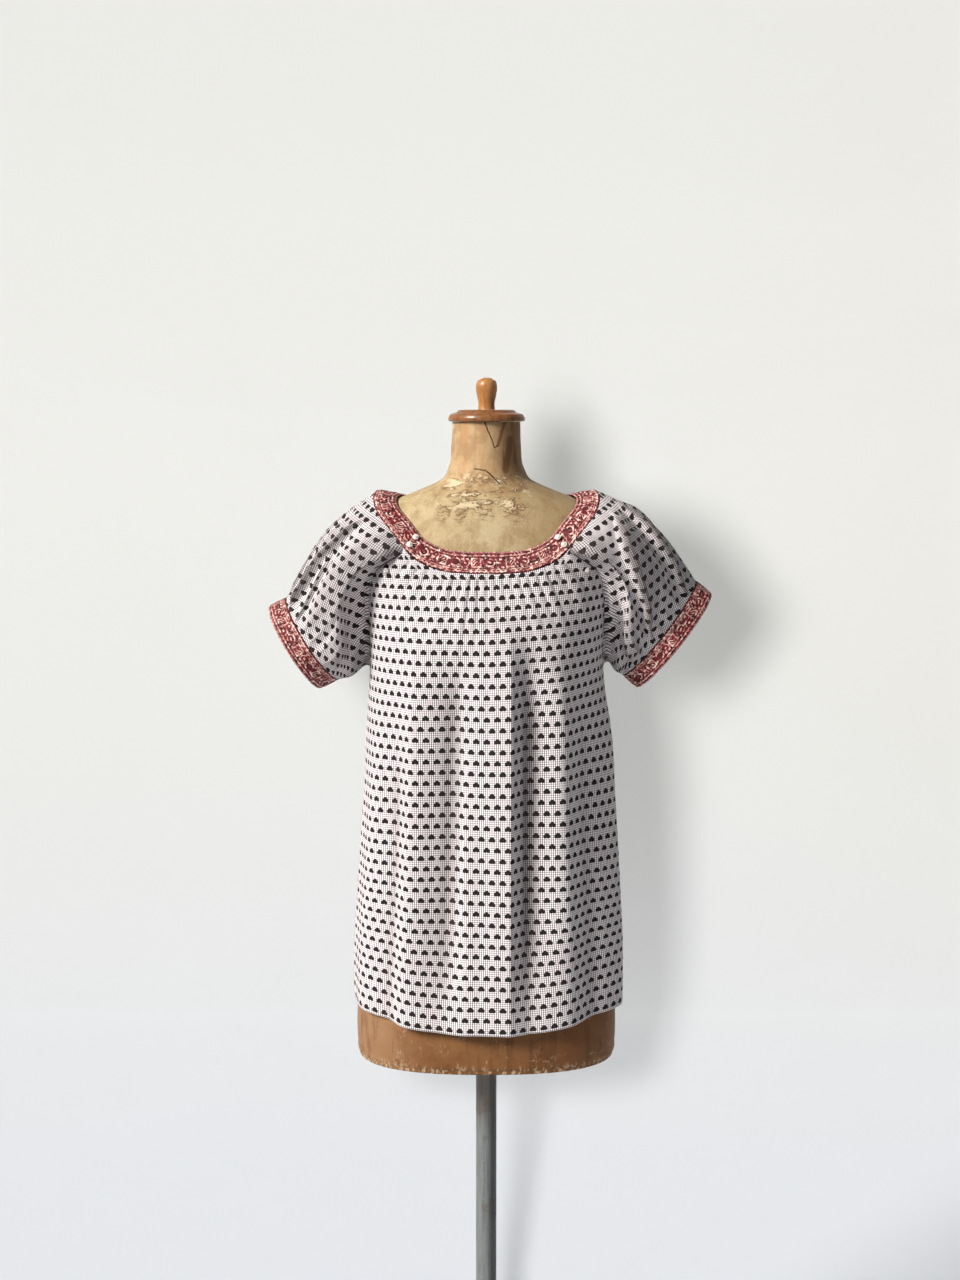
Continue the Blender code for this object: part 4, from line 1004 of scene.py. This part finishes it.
def steel_paint():
    """Worn steel tube with darker, slightly rusty patches, and shade painted on its +X side away from the
    window.
    """
    paint = Paint("worn_steel", 0.4, 0.35)
    x, y, z = paint.place()
    streak = paint.noise(paint.vector(x * 220, y * 220, z * 14), 1.0, 5.0, 0.65)
    patch = paint.noise(paint.place_socket, 26.0, 5.0, 0.65)
    speck = paint.noise(paint.place_socket, 420.0, 3.0, 0.6)
    paint.colour(
        (0.17, 0.18, 0.172),
        (streak.step(0.42, 0.62) * 0.7, (0.10, 0.108, 0.102)),
        (patch.step(0.52, 0.68) * 0.7, (0.115, 0.090, 0.066)),
        (speck.step(0.60, 0.70) * 0.5, (0.30, 0.31, 0.29)),
        (z.step(0.55, 0.68) * 0.55, (0.17, 0.11, 0.07)),
        # painted shade: the pole's +X side, away from the window, is painted near black
        (x.step(0.000, 0.009) * 0.65, (0.022, 0.023, 0.022)),
    )
    paint.rough(0.34 + 0.3 * patch)
    return paint.bump(speck * 0.5 + streak * 0.4, 0.0003, 0.5)


def iron_paint():
    """Painted cast iron, slightly rough, worn at the edge."""
    paint = Paint("cast_iron", 0.6, 0.35)
    x, y, _ = paint.place()
    grain = paint.noise(paint.place_socket, 500.0, 4.0, 0.7)
    patch = paint.noise(paint.place_socket, 22.0, 4.0, 0.6)
    edge = (x * x + y * y).sqrt().step(0.1705, 0.1735) * patch.step(0.42, 0.56)
    paint.colour(
        (0.045, 0.047, 0.047),
        (patch.step(0.45, 0.68) * 0.6, (0.075, 0.068, 0.060)),
        (edge * 0.7, (0.22, 0.19, 0.16)),
    )
    paint.rough(0.5 + 0.25 * patch)
    return paint.bump(grain, 0.0005, 0.6)


def button_paint(name, light, dark, roughness, gloss):
    """A button's surface, cloudy and a little worn."""
    paint = Paint(name, roughness, Coat_Weight=gloss, Coat_Roughness=0.12)
    paint.place()
    cloud = paint.noise(paint.place_socket, 420.0, 3.0, 0.6)
    paint.colour(light, (cloud.step(0.46, 0.60) * 0.85, dark))
    return paint.bump(cloud, 0.0004, 0.7)


cotton = cotton_paint()
ribbon = ribbon_paint()
paper = form_paint()
cap_wood = wood_paint("cap_wood", (0.245, 0.098, 0.028), (0.155, 0.055, 0.016))
knob_wood = wood_paint("knob_wood", (0.42, 0.190, 0.058), (0.32, 0.128, 0.033))
steel = steel_paint()
iron = iron_paint()
pearl = button_paint("old_pearl", (0.80, 0.74, 0.66), (0.50, 0.38, 0.32), 0.3, 0.5)
covered = button_paint("worn_cover", (0.62, 0.56, 0.55), (0.12, 0.09, 0.085), 0.7, 0.0)


# The body


def panel_cut(points):
    """The flat cut's coordinates of a panel's grid: along its rows from the middle, and up from the hem."""
    rows, columns = points.shape[:2]
    level = np.diff(points[..., :2], axis=1)
    steps = np.linalg.norm(level, axis=-1)
    u = np.concatenate([np.zeros((rows, 1)), np.cumsum(steps, axis=1)], axis=1)
    u = u - u[:, columns // 2 : columns // 2 + 1]
    radius = np.linalg.norm(points[..., :2], axis=-1)
    rise = np.sqrt(np.diff(points[..., 2], axis=0) ** 2 + np.diff(radius, axis=0) ** 2)
    above = np.concatenate([np.cumsum(rise[::-1], axis=0)[::-1], np.zeros((1, columns))])
    return u, above


def slit(edge):
    """How far an edge stands back where the placket hangs open under the buttons."""
    return SLIT_WIDTH * np.sin(math.pi * np.clip((edge[..., 2] - SLIT[0]) / (SLIT[1] - SLIT[0]), 0, 1))


def pull_back(edge, beside, distance):
    """Move an edge towards the line of points beside it."""
    edge += distance * unit(beside - edge)


def level_pattern(panel, points, u, v):
    """The pattern's height: along the cloth by the hem, and level round the body from there up."""
    height = points[..., 2]
    centre = points.shape[1] // 2
    above_middle = np.maximum(height - height[0, centre], 0)
    level = np.interp(height, height[::-1, centre], v[::-1, centre]) + 1.2 * above_middle
    v = v + (level - v) * smooth_step((height - LEVEL_FROM) / LEVEL_OVER)
    if panel is FRONT:
        v = v - ROWS_DROP * np.maximum(u, 0) * smooth_step((height - DROP_FROM) / DROP_OVER)
    return v


def build_panel(panel):
    """A panel's cloth down to its turned hem, clear of its seams, with its pattern and the shade painted into
    its folds.
    """
    columns, rows = panel.grid
    across = np.linspace(-1, 1, columns + 1)
    underarm = underarm_share(panel)
    below = np.linspace(underarm, 1, rows * 3 // 5 + 1)[1:]
    down = np.concatenate([np.linspace(0, underarm, rows * 2 // 5), below])
    points = np.stack([panel_point(panel, across, d) for d in down])
    pull_back(points[0], points[1], SEAM_GAP)
    pull_back(points[:, 0], points[:, 1], SEAM_GAP)
    pull_back(points[:, -1], points[:, -2], SEAM_GAP)
    u, v = panel_cut(points)
    if panel is FRONT:
        pull_back(points[:, 0], points[:, 1], slit(points[:, 0])[:, None])
        pull_back(points[:, -1], points[:, -2], slit(points[:, -1])[:, None])
    drawn_in = 1 + 0.10 * np.exp(-(v.max() - v) / 0.10)
    v = level_pattern(panel, points, u, v)
    hem = points[-1]
    radial = unit(hem * (1, 1, 0))
    turned_in = np.stack([hem - HEM_INSET * radial, hem - (HEM_INSET + 0.0002) * radial + (0, 0, HEM_TURN)])
    grid = np.concatenate([points, turned_in])
    cut = np.stack([u * drawn_in, v], -1)
    cut = np.concatenate([cut, cut[-1:] + (0, HEM_INSET), cut[-1:] + (0, HEM_TURN)])
    made = mesh_object(panel.name + "_cloth", grid, grid_faces(grid).tolist(), cotton, cut)
    outward = unit(np.cross(np.gradient(grid, axis=0), np.gradient(grid, axis=1)) + 1e-12)
    mark_fold_shade(made, grid, outward, PANEL_SPAN / panel.grid[0])
    hand_over(made, panel.name)


# The sleeves


def sleeve_cut(plain, normals, offset):
    """The flat cut's coordinates of a sleeve: across its grain, and up from its far edge along the grain."""
    grain = np.array([math.cos(GRAIN), 0, -math.sin(GRAIN)])
    across = unit(np.cross(grain, normals))
    column = int(GRAIN_COLUMN * plain.shape[1])
    down = np.sum(np.diff(plain[:, column], axis=0) * across[1:, column], axis=-1)
    steps = np.sum(np.diff(plain, axis=1) * (across[:, 1:] + across[:, :-1]) / 2, axis=-1)
    steps = np.sign(steps) * np.hypot(steps, np.diff(offset, axis=1))
    reach = np.concatenate([np.zeros((len(plain), 1)), np.cumsum(steps, axis=1)], axis=1)
    u = reach - reach[:, column : column + 1] + np.concatenate([[0], np.cumsum(down)])[:, None]
    v = SLEEVE_LENGTH + (plain - plain[-1].mean(axis=0)) @ grain
    return np.stack([u, v], -1)


def mirrored(sleeve, *vectors):
    """Points or directions worked out on the +X side, turned over for the left sleeve."""
    return [v * (-1, 1, 1) if sleeve.side == "left" else v for v in vectors]


def build_sleeve(sleeve):
    """A sleeve's cloth, clear of its seams, with its pattern and the shade painted into its folds."""
    plain, normals, offset, shares = sleeve_surface(sleeve, *SLEEVE_GRID)
    points = plain + normals * offset[..., None]
    cut = sleeve_cut(plain, normals, offset)
    front_edge = (shares < 0.25)[:, None]
    pull_back(points[0], points[1], 1.4 * SEAM_GAP + slit(points[0])[:, None] * front_edge)
    pull_back(points[-1], points[-2], SEAM_GAP)
    points, normals = mirrored(sleeve, points, normals)
    name = sleeve.side + "_sleeve"
    faces = grid_faces(points, sleeve.side == "left").tolist()
    made = mesh_object(name + "_cloth", points, faces, cotton, cut)
    mark_fold_shade(made, points, normals, SLEEVE_SPAN / SLEEVE_GRID[0])
    hand_over(made, name)


# The ribbons


def path_length(points):
    """How far along a row of points each one lies."""
    return np.concatenate([[0], np.cumsum(np.linalg.norm(np.diff(points, axis=0), axis=-1))])


def arch(share):
    """0 at both edges of a ribbon and 1 in its middle."""
    return 4 * share * (1 - share)


def pucker(length, share):
    """Fine crinkles along a ribbon, none at its edges."""
    return PUCKER * np.sin(length / 0.0021 + 3 * share) * np.sin(length / 0.0145 + 5 * share) * arch(share)


def build_ribbon(name, rows, facing, length, closed, flip=False):
    """A ribbon from its rows of points, with length running along it."""
    shares = np.linspace(1, 0, RIBBON_ROWS) if closed else np.linspace(0, 1, RIBBON_ROWS)
    cut = [np.stack([length, np.full_like(length, share * RIBBON_WIDTH)], -1) for share in shares]
    made = strip(name + "_ribbon", np.array(rows), facing, np.array(cut), closed, flip)
    hand_over(made, name)
    return made, (round(float(length[-1] - length[0]), 3), RIBBON_WIDTH)


def build_cuff(sleeve):
    shares = np.linspace(0, 1, 261)
    seam, outward = cuff_ring(sleeve, sleeve.seam_top, sleeve.seam_bottom, shares)
    mouth = cuff_ring(sleeve, sleeve.mouth_top, sleeve.mouth_bottom, shares)[0]
    pull_back(seam, mouth, SEAM_GAP)
    length = path_length((seam + mouth) / 2)
    rows = []
    for share in np.linspace(0, 1, RIBBON_ROWS):
        stands_off = CUFF_EASE + RIBBON_CROWN * arch(share) + pucker(length, share)
        rows.append(seam + (mouth - seam) * share + stands_off[:, None] * outward)
    rows, outward = mirrored(sleeve, np.array(rows), outward)
    made, flat = build_ribbon(sleeve.side + "_cuff", rows, outward, length, True, sleeve.side == "left")


def build_neckband(name, angles, start):
    inset = math.degrees(SEAM_GAP / 2 / NECK_RADIUS)
    angles = np.concatenate([[angles[0] + inset], angles[1:-1], [angles[-1] - inset]])
    directions = neck_normal(angles)
    length = start + path_length(at_angle(angles, *neck_edge(angles, 0.5)))
    rows = []
    for share in np.linspace(0, 1, RIBBON_ROWS):
        rows.append(at_angle(angles, *neck_edge(angles, share)) + pucker(length, share)[:, None] * directions)
    made, flat = build_ribbon(name, rows, directions, length, False)


# Small round buttons


def build_button(name, place, outward, finish):
    profile = [(0.0, 0.0), (0.60, 0.02), (0.90, 0.20), (1.0, 0.46), (0.93, 0.64), (0.80, 0.70), (0.74, 0.66)]
    profile += [(0.66, 0.70), (0.46, 0.90), (0.2, 0.99), (0.0, 1.0)]
    profile = curved([(BUTTON_RADIUS * r, BUTTON_HEIGHT * h) for r, h in profile], 3)
    made = turned(name + "_knob", np.maximum(profile, 0), 32, finish)
    axis = np.asarray(outward, float)
    side = unit(np.cross(axis, (0.0, 0.0, 1.0)))
    up = np.cross(axis, side)
    place = np.asarray(place, float) + axis * (SEAM_GAP + 0.0003)
    turn = np.column_stack([side, up, axis])
    for vertex in made.data.vertices:
        vertex.co = tuple(turn @ np.array(vertex.co) + place)
    hand_over(made, name)


def build_buttons():
    for side, sign in (("right", 1), ("left", -1)):
        for name, across in BAND_BUTTONS:
            angle = sign * (FRONT_CORNER - BAND_BUTTON_INSET)
            radius, height = neck_edge(angle, across)
            place = at_angle(angle, radius, height)
            build_button(f"{side}_{name}_button", place, neck_normal(angle), pearl)
        down = underarm_share(FRONT) * SEAM_BUTTON_DOWN
        across = np.array(sign * SEAM_BUTTON_ACROSS)
        spot = panel_point(FRONT, across, down)
        beside = panel_point(FRONT, across - sign * 0.02, down) - spot
        below = panel_point(FRONT, across, down * 1.1) - spot
        build_button(f"{side}_seam_button", spot, unit(np.cross(beside, below)) * sign, covered)


# The form and its stand


def build_form(steps=180):
    heights = np.array([s.height for s in FORM_SECTIONS])
    heights = np.unique(np.concatenate([np.linspace(a, b, 9) for a, b in zip(heights, heights[1:])]))
    angles = np.linspace(0, 360, steps, endpoint=False)
    upper = (heights > 1.30) & (heights < 1.515)
    dented = DENT * np.sin(np.radians(angles) * 3 + 1) * (np.sin(heights * 31) * upper)[:, None]
    radii = np.stack([ring_radius(FORM_SECTIONS, angles, height) for height in heights]) + dented
    rings = [at_angle(angles, radius, height) for radius, height in zip(radii, heights)]
    last = (len(heights) - 1) * steps
    ends = [list(range(steps))[::-1], list(range(last, last + steps))]
    faces = rings_faces(len(heights), steps) + ends
    hand_over(mesh_object("dress_form_paper", rings, faces, paper), "dress_form")


def raised(profile, height):
    """A profile moved up."""
    return [(radius, height + above) for radius, above in profile]


def build_cap():
    base = NECK_TOP + SEAM_GAP
    cap = [(0.0440, 0), (0.0488, 0.0006), (0.0497, 0.0026), (0.0496, 0.0050), (0.0484, 0.0078)]
    cap += [(0.0470, 0.0092), (0.0440, 0.0104), (0.0404, 0.0112), (0.0392, 0.0114), (0.0384, 0.0122)]
    cap += [(0.0368, 0.0138), (0.0340, CAP_HEIGHT)]
    hand_over(turned("neck_cap_wood", curved(raised(cap, base), 4), 96, cap_wood), "neck_cap")
    knob = [(0.0112, 0), (0.0106, 0.004), (0.0108, 0.010), (0.0124, 0.018), (0.0137, 0.026)]
    knob += [(0.0134, 0.032), (0.0112, 0.037), (0.0065, 0.0400), (0.0, 0.0410)]
    profile = np.maximum(curved(raised(knob, base + CAP_HEIGHT + SEAM_GAP), 5), 0)
    hand_over(turned("neck_knob_wood", profile, 64, knob_wood), "neck_knob")


def build_stand():
    pole = [(POLE_RADIUS, FOOT_FLOOR + SEAM_GAP), (POLE_RADIUS, FORM_BOTTOM - SEAM_GAP)]
    hand_over(turned("pole_tube", pole, 72, steel), "pole")
    bore = POLE_RADIUS + SEAM_GAP
    foot = [(0.0, 0.0), (FOOT_RADIUS - 0.001, 0.0), (FOOT_RADIUS, 0.001), (FOOT_RADIUS, FOOT_EDGE - 0.003)]
    foot += [(FOOT_RADIUS - 0.001, FOOT_EDGE - 0.001), (FOOT_RADIUS - 0.003, FOOT_EDGE)]
    foot += [(0.120, 0.0118), (0.070, 0.0145), (0.050, 0.0166), (0.038, 0.0190), (0.031, 0.0222)]
    foot += [(HUB_RADIUS, 0.026), (HUB_RADIUS, HUB_TOP - 0.002), (HUB_RADIUS - 0.0006, HUB_TOP - 0.0006)]
    foot += [(HUB_RADIUS - 0.002, HUB_TOP), (bore, HUB_TOP), (bore, FOOT_FLOOR), (0.0, FOOT_FLOOR)]
    hand_over(turned("round_foot_iron", foot, 128, iron), "round_foot")


# Floor, light and camera


def wall_paint():
    """Pale and even: where the lights together fall brighter than on the floor, the colour takes it back.
    Painted shade darkens it towards +X and higher up.
    """
    paint = Paint("pale_wall", 0.95)
    x, y, z = paint.place()
    drift = paint.noise(paint.place_socket, 0.35, 2.0)
    fine = paint.noise(paint.place_socket, 3.0, 4.0)
    upward = (1.0 - (z + FLOOR_DEPTH) / SWEEP).most(0.0).least(1.0)
    facing = (1.0 - upward * upward).sqrt()
    to_x, to_y, to_z = x - LAMP_PLACE[0], y - LAMP_PLACE[1], LAMP_PLACE[2] - z
    distance = (to_x * to_x + to_y * to_y + to_z * to_z).sqrt()
    from_lamp = (facing * to_y + upward * to_z).most(0.0) / distance * LAMP_LIGHT
    received = upward * FLOOR_LIGHT + facing * WALL_LIGHT + from_lamp + ROOM_LIGHT
    surplus = ((received - (FLOOR_LIGHT + ROOM_LIGHT + 0.05)) / received).most(0.0)
    paint.colour(
        (0.520, 0.522, 0.510),
        # painted shade: the wall is darker towards +X and higher up; the floor towards the front is painted a
        # cooler blue
        (x.step(0.4, 1.8) * 0.6, (0.492, 0.487, 0.455)),
        (y.step(4.9, 0.6) * 0.9, (0.482, 0.500, 0.540)),
        (z.step(1.0, 2.6) * 0.55, (0.44, 0.443, 0.432)),
        (drift.step(0.35, 0.7) * 0.2, (0.487, 0.490, 0.478)),
        (fine.step(0.5, 0.8) * 0.06, (0.44, 0.44, 0.425)),
        (surplus, (0.0, 0.0, 0.0)),
    )
    return paint.made


def build_stage():
    """A pale floor that sweeps up into a far wall behind the part."""
    finish = wall_paint()
    start = FLOOR_REACH - SWEEP
    bend = np.linspace(0.01, math.pi / 2, 110)
    profile = [(0.0, 0.0), (start, 0.0)]
    profile += [(start + SWEEP * math.sin(a), SWEEP - SWEEP * math.cos(a)) for a in bend]
    profile = raised(profile, -FLOOR_DEPTH) + [(FLOOR_REACH, WALL_HEIGHT)]
    angles = np.linspace(WALL_SIDE, 360 - WALL_SIDE, 161)
    widen = -1 / np.cos(np.radians(angles)) - 1
    rings = np.stack([at_angle(angles, r * (1 + widen * min(r / start, 1) ** 2), h) for r, h in profile])
    backdrop = mesh_object("backdrop", rings, grid_faces(rings).tolist(), finish)
    front = at_angle(np.linspace(-WALL_SIDE, WALL_SIDE, 101), FLOOR_REACH, -FLOOR_DEPTH)
    disc = np.concatenate([[(0, 0, -FLOOR_DEPTH)], front])
    floor = mesh_object("floor", disc, [(0, k, k + 1) for k in range(1, len(front))], finish)
    return [backdrop, floor]


def build_light(stage):
    """A window on the left, a steady lamp beside the camera for the stage, and some light of the room."""
    sun = bpy.data.lights.new("window", "SUN")
    sun.energy, sun.angle, sun.color = SUN_ENERGY, math.radians(20), WARM_WHITE
    placed("window", sun).rotation_euler = (math.radians(90 - SUN_HEIGHT), 0, math.radians(-SUN_SIDE))
    light = bpy.data.lights.new("lamp", "POINT")
    light.energy, light.shadow_soft_size, light.color = LAMP_ENERGY, 0.07, WARM_WHITE
    light.use_nodes = True
    steady = light.node_tree.nodes.new("ShaderNodeLightFalloff")
    steady.inputs["Strength"].default_value = 1.0
    emission = light.node_tree.nodes["Emission"]
    light.node_tree.links.new(steady.outputs["Constant"], emission.inputs["Strength"])
    lamp = placed("lamp", light)
    lamp.location = LAMP_PLACE
    lamp.visible_camera = lamp.visible_glossy = False
    lit = bpy.data.collections.new("lit_by_lamp")
    for piece in stage:
        lit.objects.link(piece)
    lamp.light_linking.receiver_collection = lit
    world = bpy.data.worlds.new("room")
    bpy.context.scene.world = world
    world.use_nodes = True
    world.node_tree.nodes["Background"].inputs[0].default_value = (0.94, 0.97, 1.0, 1.0)
    world.node_tree.nodes["Background"].inputs[1].default_value = ROOM_LIGHT


def build_camera():
    camera = bpy.data.cameras.new("camera")
    camera.sensor_width = SENSOR
    camera.lens = FOCAL_LENGTH_IN_PIXELS / PHOTO_HEIGHT * SENSOR
    stand = placed("camera", camera)
    stand.location = CAMERA_PLACE
    stand.rotation_euler = (math.radians(90 - CAMERA_TILT), 0, 0)
    bpy.context.scene.camera = stand


build_panel(FRONT)
build_panel(BACK)
for sleeve in SLEEVES:
    build_sleeve(sleeve)
    build_cuff(sleeve)
build_neckband("front_neckband", np.linspace(-FRONT_CORNER, FRONT_CORNER, 361), 0.0)
build_neckband("back_neckband", np.linspace(FRONT_CORNER, 360 - FRONT_CORNER, 721), 0.011)
build_buttons()
build_form()
build_cap()
build_stand()
build_light(build_stage())
build_camera()
bpy.context.scene.view_settings.view_transform = "Standard"
